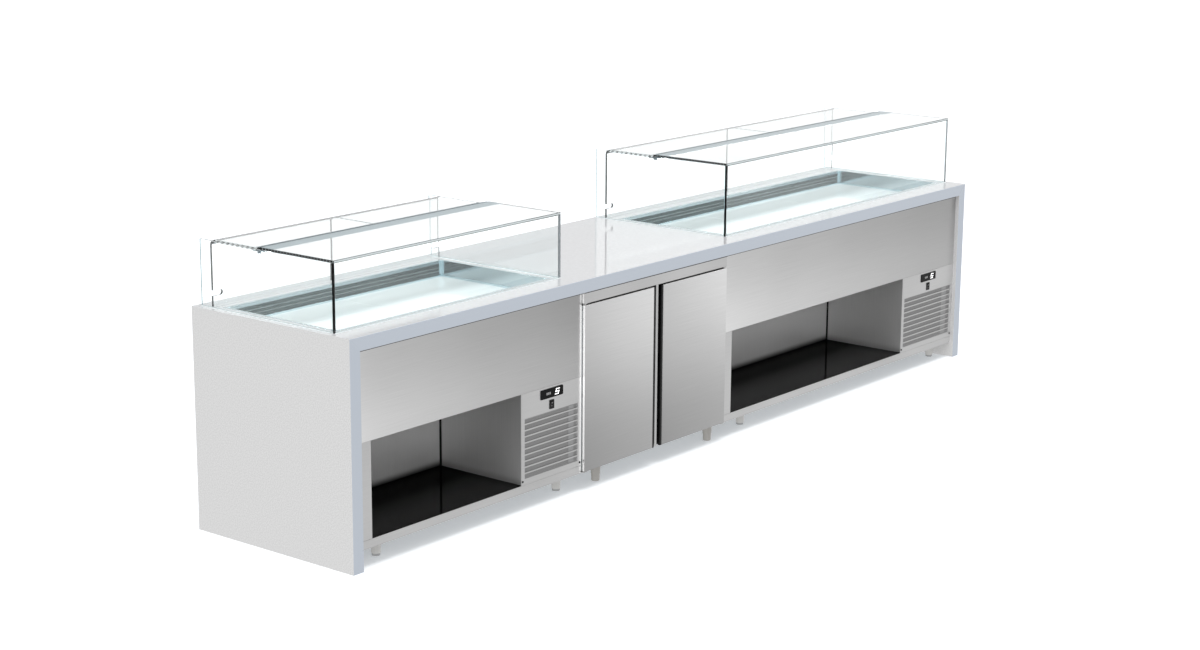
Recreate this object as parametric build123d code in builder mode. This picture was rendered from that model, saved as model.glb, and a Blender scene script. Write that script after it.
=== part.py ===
from build123d import *
import os
from math import cos, radians, sin
from typing import NamedTuple

# A catering display counter, in millimetres.
# X runs along the counter and the operator stands at -Y.
# The floor is at Z = 0, and the plan's centre is at X = Y = 0.

# White boards
counter_length = 4430.0
counter_depth = 850.0
counter_height = 900.0
end_panel_thickness = 55.0
worktop_thickness = 55.0
board_edge_radius = 2.0
cladding_thickness = 18.0
cladding_setback = 12.0  # behind the worktop's rear edge
cladding_floor_gap = 60.0
cladding_joint = 4.0

# Modules under the worktop, from left to right: left unit, cupboard, right unit
left_unit_length = 1300.0
cupboard_length = 1000.0
module_gap = 2.0  # between neighbouring modules
unit_depth = 750.0
fascia_setback = 20.0  # behind the worktop's front edge
sheet = 1.5  # inner stainless sheet
skin = 2.0  # front stainless sheet
skin_edge_radius = 0.6
joint_gap = 0.2  # between pieces that butt together

# Lower half of a unit
foot_height = 75.0
base_height = 35.0
niche_height = 380.0
niche_depth = 440.0
niche_floor_thickness = 3.0
post_width = 65.0
left_cover_width = 380.0
right_cover_width = 490.0

# Louvres and screws of the service cover
louvre_margin = 22.0
louvre_rise = 25.0
louvre_count = 10
louvre_height = 19.5
louvre_bar = 6.0
louvre_corner_radius = 1.5
screw_inset = 9.0
screw_rise = 15.0
screw_radius = 2.0
screw_head_radius = 4.5
screw_head_height = 2.5
screw_length = 10.0
screw_clearance = 0.3

# Thermostat and rocker switch on the service cover
thermostat_width = 140.0
thermostat_height = 40.0
thermostat_proud = 3.0
thermostat_corner_radius = 5.0
thermostat_top_gap = 8.0
thermostat_flange = 4.0
thermostat_body_depth = 50.0
cutout_clearance = 0.5
switch_width = 28.0
switch_height = 38.0
switch_proud = 2.0
switch_gap = 10.0  # below the thermostat
switch_flange = 1.5
switch_wall = 2.5
switch_body_depth = 24.0
switch_corner_radius = 2.0
rocker_gap = 0.5
rocker_pin_radius = 2.0
rocker_pin_engagement = 1.5
rocker_axis_depth = 1.0  # behind the cover's front face
rocker_peak = 4.5
rocker_valley = 2.5
rocker_back = 5.0
rocker_throw = 16.0
running_clearance = 0.06

# Well, tank and deck
well_front_margin = 140.0  # from the worktop's front edge
well_width = 580.0
well_end_margin = 48.0  # from the glass case's ends
rim_width = 15.0
rim_clearance = 0.5
tank_clearance = 2.0
deck_drop = 70.0
deck_thickness = 2.0
deck_gap = 1.5
ledge_width = 15.0
insulation_wall = 40.0
insulation_floor = 40.0
insulation_clearance = 1.0
evaporator_height = 130.0
evaporator_width = 300.0
evaporator_end_gap = 140.0
tube_radius = 6.0
tube_overhang = 30.0
tube_rows = 4
tube_layers = 2
tube_pitch = 60.0
fin_pitch = 40.0
fin_thickness = 1.0

# Condensing set in the machine bay
condenser_gap = 12.0  # behind the cover
condenser_side_gap = 24.0
condenser_top_gap = 6.0  # below the switch
condenser_depth = 38.0
fan_radius = 120.0
fan_rise = 150.0  # axis above the base
fan_gap = 16.0
hub_radius = 24.0
hub_length = 26.0
blade_count = 5
blade_root = 16.0
blade_chord = 62.0
blade_thickness = 2.5
blade_pitch = 24.0
shaft_radius = 4.0
shaft_engagement = 18.0
motor_gap = 4.0
motor_radius = 38.0
motor_length = 60.0
motor_corner_radius = 5.0
bracket_width = 50.0
bracket_thickness = 5.0
bracket_foot = 60.0
compressor_setback = 470.0  # axis behind the fascia
compressor_radius = 78.0
compressor_height = 190.0
compressor_dome = 55.0
compressor_plate_length = 210.0
compressor_plate_width = 150.0
compressor_plate_thickness = 5.0

# Glass case
glass_thickness = 10.0
left_glass_height = 272.0
right_glass_height = 330.0
glass_chamfer = 0.8
case_front_margin = 100.0  # from the worktop's front edge
left_case_depth = 721.0
right_case_depth = 745.0
case_end_inset = 27.0  # from the counter's end faces
left_case_inset = 40.0  # from the left unit's right end
right_case_inset = 115.0  # from the right unit's left end
left_top_glass_depth = 386.0
right_top_glass_depth = 394.0
bar_lap = 21.0  # under the top pane
bar_height = 8.5
bar_flange = 8.0  # upright, behind the top pane
bar_flange_drop = 15.0  # below the shelf's top
bar_edge_radius = 1.5
led_width = 17.0
led_thickness = 4.0

# Flaps and the bead hinge that carries them
flap_thickness = 10.0
flap_inset = 49.0  # inside the end panes' rear edges
flap_bend_radius = 24.0
flap_side_gap = 4.0
flap_middle_gap = 4.0
flap_floor_gap = 2.0
flap_start = 14.0  # from the hinge axis
notch_depth = 48.0
notch_height = 22.0
notch_rise = 55.0
bead_radius = 5.0
bead_clearance = 0.1
socket_wall = 2.5
socket_overlap = 1.5
socket_drop = 8.5  # axis below the shelf's top
socket_open_from = -22.0
socket_open_to = 88.0
neck_thickness = 3.0
hinge_leaf_length = 36.0

# Cupboard
cupboard_foot_height = 80.0
top_rail_height = 48.0
top_rail_setback = 3.0  # behind the doors' front face
stile_width = 25.0
mullion_nose_width = 16.0
mullion_nose_setback = 9.0
mullion_land_width = 60.0
shelf_height = 340.0  # above the cupboard's bottom
shelf_thickness = 3.0
shelf_front_gap = 60.0
shelf_clearance = 2.0
runner_width = 20.0

# Cupboard doors
door_setback = 4.0  # behind the worktop's front edge
door_thickness = 40.0
door_skin = 1.2
door_edge_radius = 2.0
door_side_gap = 3.0
door_middle_gap = 42.0
door_top_gap = 6.0
door_bottom_gap = 2.2
gasket_thickness = 8.0
gasket_width = 12.0
gasket_inset = 6.0
seal_gap = 0.3
grip_width = 12.0
grip_setback = 1.0
grip_groove_depth = 7.0
grip_groove_width = 18.0
pin_inset = 9.0
pin_radius = 4.0
pin_engagement = 18.0
pin_hole_margin = 0.6
hinge_plate_thickness = 2.8
hinge_plate_margin = 10.0
hinge_plate_length = 12.0
hinge_plate_reach = 30.0

# Adjustable feet
left_unit_foot_inset = 169.0
right_unit_foot_inset = 263.0
unit_foot_right_inset = 60.0
unit_foot_setback = 85.0
foot_pad_radius = 17.0
foot_pad_height = 10.0
foot_body_radius = 19.0
foot_collar_radius = 17.0
foot_collar_height = 14.0
foot_stem_radius = 10.0
cupboard_foot_left_inset = 150.0
cupboard_foot_right_inset = 49.0
cupboard_foot_front_setback = 12.0  # behind the plane that the door gaskets seal on
cupboard_foot_back_setback = 32.0
leg_top_radius = 22.0
leg_bottom_radius = 20.0
leg_step_radius = 18.5
leg_toe_radius = 17.5
leg_toe_rounding = 4.0
leg_screw_height = 32.0

# Places worked out from the sizes above
half_length = counter_length / 2
half_depth = counter_depth / 2
under_top = counter_height - worktop_thickness
inner_left = end_panel_thickness - half_length
inner_right = half_length - end_panel_thickness
bay_edges = [
    inner_left,
    inner_left + left_unit_length,
    inner_left + left_unit_length + cupboard_length,
    inner_right,
]
front_y = -half_depth
fascia_y = front_y + fascia_setback
unit_back = fascia_y + unit_depth
behind_skin = fascia_y + skin + joint_gap
base_top = foot_height + base_height
niche_top = base_top + niche_height
niche_back = fascia_y + niche_depth
well_front = front_y + well_front_margin
well_back = well_front + well_width
deck_top = counter_height - deck_drop
ledge_top = deck_top - deck_thickness - joint_gap
tank_bottom = niche_top + sheet + insulation_floor + 2 * joint_gap
case_front = front_y + case_front_margin
socket_inner = bead_radius + bead_clearance
socket_outer = socket_inner + socket_wall
thermostat_top = niche_top - joint_gap - thermostat_top_gap
switch_top = thermostat_top - thermostat_height - switch_gap
rocker_z = switch_top - switch_height / 2
rocker_y = fascia_y + rocker_axis_depth
condenser_front = fascia_y + skin + condenser_gap
fan_front = condenser_front + condenser_depth + fan_gap
fan_z = base_top + fan_rise
door_y = front_y + door_setback
door_back = door_y + door_thickness
seal_y = door_back + gasket_thickness + seal_gap
cupboard_x0 = bay_edges[1] + module_gap / 2
cupboard_x1 = bay_edges[2] - module_gap / 2
cupboard_x = (cupboard_x0 + cupboard_x1) / 2
rail_bottom = under_top - joint_gap - top_rail_height
door_bottom = cupboard_foot_height + door_bottom_gap
door_top = rail_bottom - door_top_gap
pin_y = door_y + pin_inset


class Unit(NamedTuple):
    name: str
    x0: float
    x1: float
    cover_width: float
    case_x0: float
    case_x1: float
    case_depth: float
    glass_height: float
    top_glass_depth: float
    decks: int
    foot_inset: float

    @property
    def cover_x0(self):
        return self.x1 - self.cover_width

    @property
    def bay_x(self):
        return self.x1 - self.cover_width / 2

    @property
    def well_x0(self):
        return self.case_x0 + well_end_margin

    @property
    def well_x1(self):
        return self.case_x1 - well_end_margin

    @property
    def case_middle(self):
        return (self.case_x0 + self.case_x1) / 2

    @property
    def case_back(self):
        return case_front + self.case_depth

    @property
    def case_top(self):
        return counter_height + self.glass_height

    @property
    def top_glass_bottom(self):
        return self.case_top - glass_thickness

    @property
    def top_glass_back(self):
        return case_front + self.top_glass_depth

    @property
    def bar_y(self):
        return (self.top_glass_back - bar_lap, self.top_glass_back + joint_gap + bar_flange)

    @property
    def bar_z(self):
        top = self.top_glass_bottom - joint_gap
        return (top - bar_height, top)

    @property
    def hinge_y(self):
        return self.bar_y[1] + socket_outer - socket_overlap

    @property
    def hinge_z(self):
        return self.bar_z[1] - socket_drop

    @property
    def flap_underside(self):
        return self.hinge_z + neck_thickness / 2 + joint_gap

    def around_hinge(self, radius, angle):
        turn = radians(angle)
        return (self.hinge_y + radius * cos(turn), self.hinge_z + radius * sin(turn))


left_unit = Unit(
    name="left",
    x0=bay_edges[0] + module_gap / 2,
    x1=bay_edges[1] - module_gap / 2,
    cover_width=left_cover_width,
    case_x0=case_end_inset - half_length,
    case_x1=bay_edges[1] - left_case_inset,
    case_depth=left_case_depth,
    glass_height=left_glass_height,
    top_glass_depth=left_top_glass_depth,
    decks=2,
    foot_inset=left_unit_foot_inset,
)
right_unit = Unit(
    name="right",
    x0=bay_edges[2] + module_gap / 2,
    x1=bay_edges[3] - module_gap / 2,
    cover_width=right_cover_width,
    case_x0=bay_edges[2] + right_case_inset,
    case_x1=half_length - case_end_inset,
    case_depth=right_case_depth,
    glass_height=right_glass_height,
    top_glass_depth=right_top_glass_depth,
    decks=3,
    foot_inset=right_unit_foot_inset,
)
units = [left_unit, right_unit]


class Door(NamedTuple):
    name: str
    side: int  # -1 opens on the left, 1 on the right

    def x(self, distance):
        return cupboard_x + self.side * distance

    @property
    def outer(self):
        return (cupboard_x1 - cupboard_x0) / 2 - door_side_gap

    @property
    def pan_x(self):
        return span(self.x(door_middle_gap / 2 + grip_width), self.x(self.outer))

    @property
    def pin_x(self):
        return self.x(self.outer - pin_inset)


doors = [Door("door_left", -1), Door("door_right", 1)]


def span(a, b):
    return (min(a, b), max(a, b))


def inset(values, margin):
    return (values[0] + margin, values[1] - margin)


def common(first, second):
    return (max(first[0], second[0]), min(first[1], second[1]))


def block(x, y, z, mode=Mode.ADD):
    with Locations(((x[0] + x[1]) / 2, (y[0] + y[1]) / 2, (z[0] + z[1]) / 2)):
        Box(x[1] - x[0], y[1] - y[0], z[1] - z[0], mode=mode)


def front_plane(y):
    # X runs right and Y runs up in the sketch, and a positive extrusion comes forward
    return Plane.XZ.offset(-y)


def save(part, name):
    part.label = name
    export_step(part, f"parts/{name}.step")


# White boards

def make_worktop():
    with BuildPart() as worktop:
        with BuildSketch(front_plane(half_depth)):
            with BuildLine():
                Polyline(
                    (-half_length, counter_height),
                    (half_length, counter_height),
                    (inner_right, under_top),
                    (inner_left, under_top),
                    close=True,
                )
            make_face()
        extrude(amount=counter_depth)
        fillet(worktop.edges().filter_by(Axis.X), board_edge_radius)
        for unit in units:
            well_x = (unit.well_x0, unit.well_x1)
            well_y = (well_front, well_back)
            cut = -(sheet + tank_clearance)
            block(inset(well_x, cut), inset(well_y, cut), (under_top, counter_height), Mode.SUBTRACT)
            rebate = -(rim_width + rim_clearance)
            rebate_z = (counter_height - sheet - joint_gap, counter_height)
            block(inset(well_x, rebate), inset(well_y, rebate), rebate_z, Mode.SUBTRACT)
    return worktop.part


def make_end_panel(side):
    outer = side * half_length
    inner = side * inner_right
    with BuildPart() as panel:
        with BuildSketch(front_plane(half_depth)):
            with BuildLine():
                Polyline((outer, 0), (outer, counter_height), (inner, under_top), (inner, 0), close=True)
            make_face()
        extrude(amount=counter_depth)
        fillet(panel.edges().filter_by(Axis.Z), board_edge_radius)
    return panel.part


def make_cladding():
    back = half_depth - cladding_setback
    with BuildPart() as cladding:
        for start, end in zip(bay_edges[:-1], bay_edges[1:]):
            first = joint_gap if start == inner_left else cladding_joint / 2
            last = joint_gap if end == inner_right else cladding_joint / 2
            board_z = (cladding_floor_gap, under_top - joint_gap)
            block((start + first, end - last), (back - cladding_thickness, back), board_z)
        fillet(cladding.edges().filter_by(Axis.Z), skin_edge_radius)
    return cladding.part


# Sheet metal of the two units

def make_base_trays():
    under_plate = base_top - sheet - joint_gap
    with BuildPart() as trays:
        for unit in units:
            length = (unit.x0, unit.x1)
            rails = (foot_height, under_plate)
            between = (behind_skin, unit_back - skin - joint_gap)
            block(length, (fascia_y, unit_back), (base_top - sheet, base_top))
            block(length, (fascia_y, fascia_y + skin), rails)
            block(length, (unit_back - skin, unit_back), rails)
            block((unit.x0, unit.x0 + skin), between, rails)
            block((unit.x1 - skin, unit.x1), between, rails)
    return trays.part


def make_carcass(unit):
    wall_z = (base_top + joint_gap, under_top - joint_gap)
    inner_x = (unit.x0 + sheet + joint_gap, unit.x1 - sheet - joint_gap)
    with BuildPart() as carcass:
        block((unit.x0, unit.x0 + sheet), (behind_skin, unit_back), wall_z)
        block((unit.x1 - sheet, unit.x1), (behind_skin, unit_back), wall_z)
        block(inner_x, (unit_back - sheet, unit_back), wall_z)
        shelf_y = (behind_skin, unit_back - sheet - joint_gap)
        block(inner_x, shelf_y, (niche_top, niche_top + sheet))
        post_z = (base_top + joint_gap, niche_top - joint_gap)
        block((unit.x0, unit.x0 + post_width), (fascia_y, fascia_y + skin), post_z)
    return carcass.part


def make_fascia(unit):
    with BuildPart() as fascia:
        block((unit.x0, unit.x1), (fascia_y, fascia_y + skin), (niche_top, under_top - joint_gap))
        fillet(fascia.faces().sort_by(Axis.Y)[0].edges(), skin_edge_radius)
    return fascia.part


def make_niche_lining(unit):
    left = unit.x0 + post_width
    right = unit.cover_x0
    wall_y = (behind_skin, niche_back)
    wall_z = (base_top + joint_gap, niche_top - joint_gap)
    with BuildPart() as lining:
        block((left - sheet, left), wall_y, wall_z)
        block((right, right + sheet), wall_y, wall_z)
        back_x = (left + joint_gap, right - joint_gap)
        block(back_x, (niche_back - sheet, niche_back), wall_z)
    return lining.part


def make_niche_floors():
    floor_z = (base_top + joint_gap, base_top + joint_gap + niche_floor_thickness)
    with BuildPart() as floors:
        for unit in units:
            floor_x = (unit.x0 + post_width + joint_gap, unit.cover_x0 - joint_gap)
            block(floor_x, (fascia_y, niche_back - sheet - joint_gap), floor_z)
    return floors.part


# Service cover, thermostat and switch

def make_cover(unit):
    cover_z = (base_top + joint_gap, niche_top - joint_gap)
    middle_z = (cover_z[0] + cover_z[1]) / 2
    pitch = louvre_height + louvre_bar
    louvre_z = base_top + louvre_rise + (louvre_count * pitch - louvre_bar) / 2
    with BuildPart() as cover:
        with BuildSketch(front_plane(fascia_y + skin)):
            with Locations((unit.bay_x, middle_z)):
                Rectangle(unit.cover_width, cover_z[1] - cover_z[0])
            with Locations((unit.bay_x, louvre_z)):
                with GridLocations(0, pitch, 1, louvre_count):
                    RectangleRounded(
                        unit.cover_width - 2 * louvre_margin,
                        louvre_height,
                        louvre_corner_radius,
                        mode=Mode.SUBTRACT,
                    )
            with Locations((unit.bay_x, thermostat_top - thermostat_height / 2)):
                Rectangle(
                    thermostat_width - 2 * thermostat_flange,
                    thermostat_height - 2 * thermostat_flange,
                    mode=Mode.SUBTRACT,
                )
            with Locations((unit.bay_x, rocker_z)):
                Rectangle(
                    switch_width - 2 * switch_flange,
                    switch_height - 2 * switch_flange,
                    mode=Mode.SUBTRACT,
                )
            with Locations(*screw_places(unit)):
                Circle(screw_radius + screw_clearance, mode=Mode.SUBTRACT)
        extrude(amount=skin)
    return cover.part


def screw_places(unit):
    screw_z = base_top + joint_gap + screw_rise
    return [(unit.cover_x0 + screw_inset, screw_z), (unit.x1 - screw_inset, screw_z)]


def make_cover_screws():
    with BuildPart() as screws:
        for unit in units:
            with BuildSketch(front_plane(fascia_y - joint_gap)):
                with Locations(*screw_places(unit)):
                    Circle(screw_head_radius)
            extrude(amount=screw_head_height)
            fillet(screws.edges().group_by(Axis.Y)[0], screw_head_height / 2)
        for unit in units:
            with BuildSketch(front_plane(fascia_y - joint_gap)):
                with Locations(*screw_places(unit)):
                    Circle(screw_radius)
            extrude(amount=-screw_length)
    return screws.part


def make_thermostats():
    with BuildPart() as thermostats:
        for unit in units:
            with BuildSketch(front_plane(fascia_y - joint_gap)):
                with Locations((unit.bay_x, thermostat_top - thermostat_height / 2)):
                    RectangleRounded(thermostat_width, thermostat_height, thermostat_corner_radius)
            extrude(amount=thermostat_proud)
            body_cut = 2 * (thermostat_flange + cutout_clearance)
            with BuildSketch(front_plane(fascia_y - joint_gap)):
                with Locations((unit.bay_x, thermostat_top - thermostat_height / 2)):
                    Rectangle(thermostat_width - body_cut, thermostat_height - body_cut)
            extrude(amount=-thermostat_body_depth)
        fillet(thermostats.faces().group_by(Axis.Y)[0].edges(), thermostat_proud / 3)
    return thermostats.part


def make_switch_bezels():
    body_cut = 2 * (switch_flange + cutout_clearance)
    body_width = switch_width - body_cut
    body_height = switch_height - body_cut
    pin_span = body_width - 2 * switch_wall + 2 * (rocker_pin_engagement + running_clearance)
    with BuildPart() as bezels:
        for unit in units:
            with BuildSketch(front_plane(fascia_y - joint_gap)):
                with Locations((unit.bay_x, rocker_z)):
                    RectangleRounded(switch_width, switch_height, switch_corner_radius)
            extrude(amount=switch_proud)
            with BuildSketch(front_plane(fascia_y - joint_gap)):
                with Locations((unit.bay_x, rocker_z)):
                    Rectangle(body_width, body_height)
            extrude(amount=-switch_body_depth)
            well_y = (fascia_y - joint_gap - switch_proud, fascia_y + switch_body_depth - switch_wall)
            well_x = (unit.bay_x - body_width / 2, unit.bay_x + body_width / 2)
            well_z = (rocker_z - body_height / 2, rocker_z + body_height / 2)
            block(inset(well_x, switch_wall), well_y, inset(well_z, switch_wall), Mode.SUBTRACT)
            with Locations((unit.bay_x, rocker_y, rocker_z)):
                Cylinder(
                    rocker_pin_radius + running_clearance,
                    pin_span,
                    rotation=(0, 90, 0),
                    mode=Mode.SUBTRACT,
                )
    return bezels.part


def make_rocker(unit):
    body_cut = 2 * (switch_flange + cutout_clearance + switch_wall + rocker_gap)
    width = switch_width - body_cut
    half = (switch_height - body_cut) / 2
    pin_span = width + 2 * (rocker_gap + rocker_pin_engagement)
    tilted = Plane(
        origin=(unit.bay_x - width / 2, rocker_y, rocker_z),
        x_dir=(0, -cos(radians(rocker_throw / 2)), -sin(radians(rocker_throw / 2))),
        z_dir=(1, 0, 0),
    )
    with BuildPart() as rocker:
        with BuildSketch(tilted):
            with BuildLine():
                Polyline(
                    (rocker_peak, half * cos(radians(rocker_throw))),
                    (rocker_valley, 0),
                    (rocker_peak, -half * cos(radians(rocker_throw))),
                    (-rocker_back, -half / 2),
                    (-rocker_back, half / 2),
                    close=True,
                )
            make_face()
        extrude(amount=width)
        with Locations((unit.bay_x, rocker_y, rocker_z)):
            Cylinder(rocker_pin_radius, pin_span, rotation=(0, 90, 0))
    return rocker.part


# Display well

def make_tank(unit):
    upper_x = (unit.well_x0, unit.well_x1)
    upper_y = (well_front, well_back)
    lower_x = inset(upper_x, ledge_width)
    lower_y = inset(upper_y, ledge_width)
    rim_z = (counter_height - sheet, counter_height)
    with BuildPart() as tank:
        block(inset(upper_x, -rim_width), inset(upper_y, -rim_width), rim_z)
        block(inset(upper_x, -sheet), inset(upper_y, -sheet), (ledge_top - sheet, counter_height))
        block(inset(lower_x, -sheet), inset(lower_y, -sheet), (tank_bottom, ledge_top))
        block(upper_x, upper_y, (ledge_top, counter_height), Mode.SUBTRACT)
        block(lower_x, lower_y, (tank_bottom + sheet, ledge_top), Mode.SUBTRACT)
    return tank.part


def make_insulation():
    with BuildPart() as insulation:
        for unit in units:
            carcass_x = inset((unit.x0, unit.x1), sheet + insulation_clearance)
            carcass_y = (behind_skin + insulation_clearance, unit_back - sheet - insulation_clearance)
            hollow_x = inset((unit.well_x0, unit.well_x1), -sheet - insulation_clearance)
            hollow_y = inset((well_front, well_back), -sheet - insulation_clearance)
            outer_x = common(inset(hollow_x, -insulation_wall), carcass_x)
            outer_y = common(inset(hollow_y, -insulation_wall), carcass_y)
            outer_z = (niche_top + sheet + joint_gap, under_top - joint_gap)
            step_z = ledge_top - sheet - insulation_clearance
            block(outer_x, outer_y, outer_z)
            block(hollow_x, hollow_y, (step_z, outer_z[1]), Mode.SUBTRACT)
            lower_x = inset(hollow_x, ledge_width)
            lower_y = inset(hollow_y, ledge_width)
            block(lower_x, lower_y, (tank_bottom - joint_gap, step_z), Mode.SUBTRACT)
    return insulation.part


def make_decks():
    deck_z = (ledge_top + joint_gap, deck_top)
    deck_y = inset((well_front, well_back), deck_gap)
    with BuildPart() as decks:
        for unit in units:
            pitch = (unit.well_x1 - unit.well_x0 - deck_gap) / unit.decks
            for i in range(unit.decks):
                start = unit.well_x0 + deck_gap + i * pitch
                block((start, start + pitch - deck_gap), deck_y, deck_z)
    return decks.part


def make_evaporators():
    middle_y = (well_front + well_back) / 2
    floor_z = tank_bottom + sheet + joint_gap
    with BuildPart() as evaporators:
        for unit in units:
            coil_x = inset((unit.well_x0, unit.well_x1), evaporator_end_gap)
            coil_middle = ((coil_x[0] + coil_x[1]) / 2, middle_y, floor_z + evaporator_height / 2)
            fin_count = int((coil_x[1] - coil_x[0]) / fin_pitch)
            with Locations(coil_middle):
                with GridLocations(fin_pitch, 0, fin_count, 1):
                    Box(fin_thickness, evaporator_width, evaporator_height)
            with BuildSketch(Plane.YZ.offset(coil_x[0] - tube_overhang)):
                with Locations((middle_y, floor_z + evaporator_height / 2)):
                    with GridLocations(tube_pitch, tube_pitch, tube_rows, tube_layers):
                        Circle(tube_radius)
            extrude(amount=coil_x[1] - coil_x[0] + 2 * tube_overhang)
    return evaporators.part


# Condensing set

def make_condensers():
    core_y = (condenser_front, condenser_front + condenser_depth)
    core_z = (base_top + joint_gap, switch_top - switch_height - condenser_top_gap)
    with BuildPart() as condensers:
        for unit in units:
            block(inset((unit.cover_x0, unit.x1), condenser_side_gap), core_y, core_z)
    return condensers.part


def make_fan(unit):
    with BuildPart() as fan:
        with BuildSketch(front_plane(fan_front + hub_length)):
            with Locations((unit.bay_x, fan_z)):
                Circle(hub_radius)
        extrude(amount=hub_length)
        blade_length = fan_radius - blade_root
        hub_middle = Location((unit.bay_x, fan_front + hub_length / 2, fan_z), (90, 0, 0))
        with Locations(hub_middle):
            with PolarLocations(blade_root + blade_length / 2, blade_count):
                Box(blade_length, blade_chord, blade_thickness, rotation=(blade_pitch, 0, 0))
        with Locations(hub_middle):
            Cylinder(shaft_radius + running_clearance, 2 * hub_length, mode=Mode.SUBTRACT)
    return fan.part


def make_fan_motors():
    motor_front = fan_front + hub_length + motor_gap
    floor_z = base_top + joint_gap
    with BuildPart() as motors:
        for unit in units:
            with BuildSketch(front_plane(motor_front + motor_length)):
                with Locations((unit.bay_x, fan_z)):
                    Circle(motor_radius)
            extrude(amount=motor_length)
        fillet(motors.edges().filter_by(GeomType.CIRCLE), motor_corner_radius)
        for unit in units:
            with BuildSketch(front_plane(motor_front)):
                with Locations((unit.bay_x, fan_z)):
                    Circle(shaft_radius)
            extrude(amount=motor_gap + shaft_engagement)
            bracket_x = (unit.bay_x - bracket_width / 2, unit.bay_x + bracket_width / 2)
            bracket_y = motor_front + motor_length / 2
            block(bracket_x, (bracket_y, bracket_y + bracket_thickness), (floor_z, fan_z))
            block(bracket_x, (bracket_y, bracket_y + bracket_foot), (floor_z, floor_z + bracket_thickness))
    return motors.part


def make_compressors():
    floor_z = base_top + joint_gap
    middle_y = fascia_y + compressor_setback
    with BuildPart() as compressors:
        for unit in units:
            with BuildSketch(Plane.XY.offset(floor_z)):
                with Locations((unit.bay_x, middle_y)):
                    Circle(compressor_radius)
            extrude(amount=compressor_height)
        fillet(compressors.edges().group_by(Axis.Z)[-1], compressor_dome)
        for unit in units:
            with BuildSketch(Plane.XY.offset(floor_z)):
                with Locations((unit.bay_x, middle_y)):
                    Rectangle(compressor_plate_length, compressor_plate_width)
            extrude(amount=compressor_plate_thickness)
    return compressors.part


# Glass case

def make_pane(x, y, z):
    with BuildPart() as pane:
        block(x, y, z)
        chamfer(pane.edges(), glass_chamfer)
    return pane.part


def make_front_glass(unit):
    pane_z = (counter_height + joint_gap, unit.top_glass_bottom - joint_gap)
    return make_pane((unit.case_x0, unit.case_x1), (case_front, case_front + glass_thickness), pane_z)


def make_top_glass(unit):
    pane_y = (case_front, unit.top_glass_back)
    pane_z = (unit.top_glass_bottom, unit.case_top)
    return make_pane((unit.case_x0, unit.case_x1), pane_y, pane_z)


def make_end_glass(unit):
    pane_y = (case_front + glass_thickness + joint_gap, unit.case_back)
    pane_z = (counter_height + joint_gap, unit.top_glass_bottom - joint_gap)
    with BuildPart() as panes:
        block((unit.case_x0, unit.case_x0 + glass_thickness), pane_y, pane_z)
        block((unit.case_x1 - glass_thickness, unit.case_x1), pane_y, pane_z)
        chamfer(panes.edges(), glass_chamfer)
    return panes.part


def make_light_bar(unit):
    bar_x = inset((unit.case_x0, unit.case_x1), glass_thickness + joint_gap)
    flange_z = (unit.bar_z[1] - bar_flange_drop, unit.case_top)
    mouth = 3 * socket_outer
    with BuildPart() as bar:
        with BuildSketch(Plane.YZ.offset(bar_x[0])):
            with Locations((sum(unit.bar_y) / 2, sum(unit.bar_z) / 2)):
                RectangleRounded(unit.bar_y[1] - unit.bar_y[0], bar_height, bar_edge_radius)
            with Locations((unit.bar_y[1] - bar_flange / 2, sum(flange_z) / 2)):
                RectangleRounded(bar_flange, flange_z[1] - flange_z[0], bar_edge_radius)
            with Locations((unit.hinge_y, unit.hinge_z)):
                Circle(socket_outer)
                Circle(socket_inner, mode=Mode.SUBTRACT)
            with BuildLine():
                Polyline(
                    (unit.hinge_y, unit.hinge_z),
                    unit.around_hinge(mouth, socket_open_from),
                    unit.around_hinge(mouth, (socket_open_from + socket_open_to) / 2),
                    unit.around_hinge(mouth, socket_open_to),
                    close=True,
                )
            make_face(mode=Mode.SUBTRACT)
        extrude(amount=bar_x[1] - bar_x[0])
    return bar.part


def make_led_strips():
    with BuildPart() as strips:
        for unit in units:
            middle_y = unit.bar_y[0] + bar_lap / 2
            strip_top = unit.bar_z[0] - joint_gap
            strip_y = (middle_y - led_width / 2, middle_y + led_width / 2)
            strip_x = inset((unit.case_x0, unit.case_x1), glass_thickness + joint_gap)
            block(strip_x, strip_y, (strip_top - led_thickness, strip_top))
    return strips.part


def flap_span(unit, side):
    # side is -1 for the left flap of a case and 1 for the right one
    outer = unit.case_x0 if side < 0 else unit.case_x1
    return span(
        outer - side * (glass_thickness + flap_side_gap),
        unit.case_middle + side * flap_middle_gap / 2,
    )


def make_flap(unit, side):
    flap_x = flap_span(unit, side)
    front = unit.hinge_y + flap_start
    back = unit.case_back - flap_inset
    bottom = counter_height + flap_floor_gap
    underside = unit.flap_underside
    top = underside + flap_thickness
    notch_edge = flap_x[0] if side < 0 else flap_x[1]
    with BuildPart() as flap:
        with BuildSketch(Plane.YZ.offset(flap_x[0])) as section:
            with BuildLine():
                Polyline(
                    (front, underside),
                    (front, top),
                    (back, top),
                    (back, bottom),
                    (back - flap_thickness, bottom),
                    (back - flap_thickness, underside),
                    close=True,
                )
            make_face()
            outer_corner = section.vertices().group_by(Axis.Y)[-1].sort_by(Axis.X)[-1]
            fillet(outer_corner, flap_bend_radius)
            inner_corner = section.vertices().sort_by_distance((back - flap_thickness, underside))[0]
            fillet(inner_corner, flap_bend_radius - flap_thickness)
        extrude(amount=flap_x[1] - flap_x[0])
        with BuildSketch(front_plane(back)):
            with Locations((notch_edge, counter_height + notch_rise)):
                SlotOverall(2 * notch_depth, notch_height)
        extrude(amount=flap_thickness, mode=Mode.SUBTRACT)
    return flap.part


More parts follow.
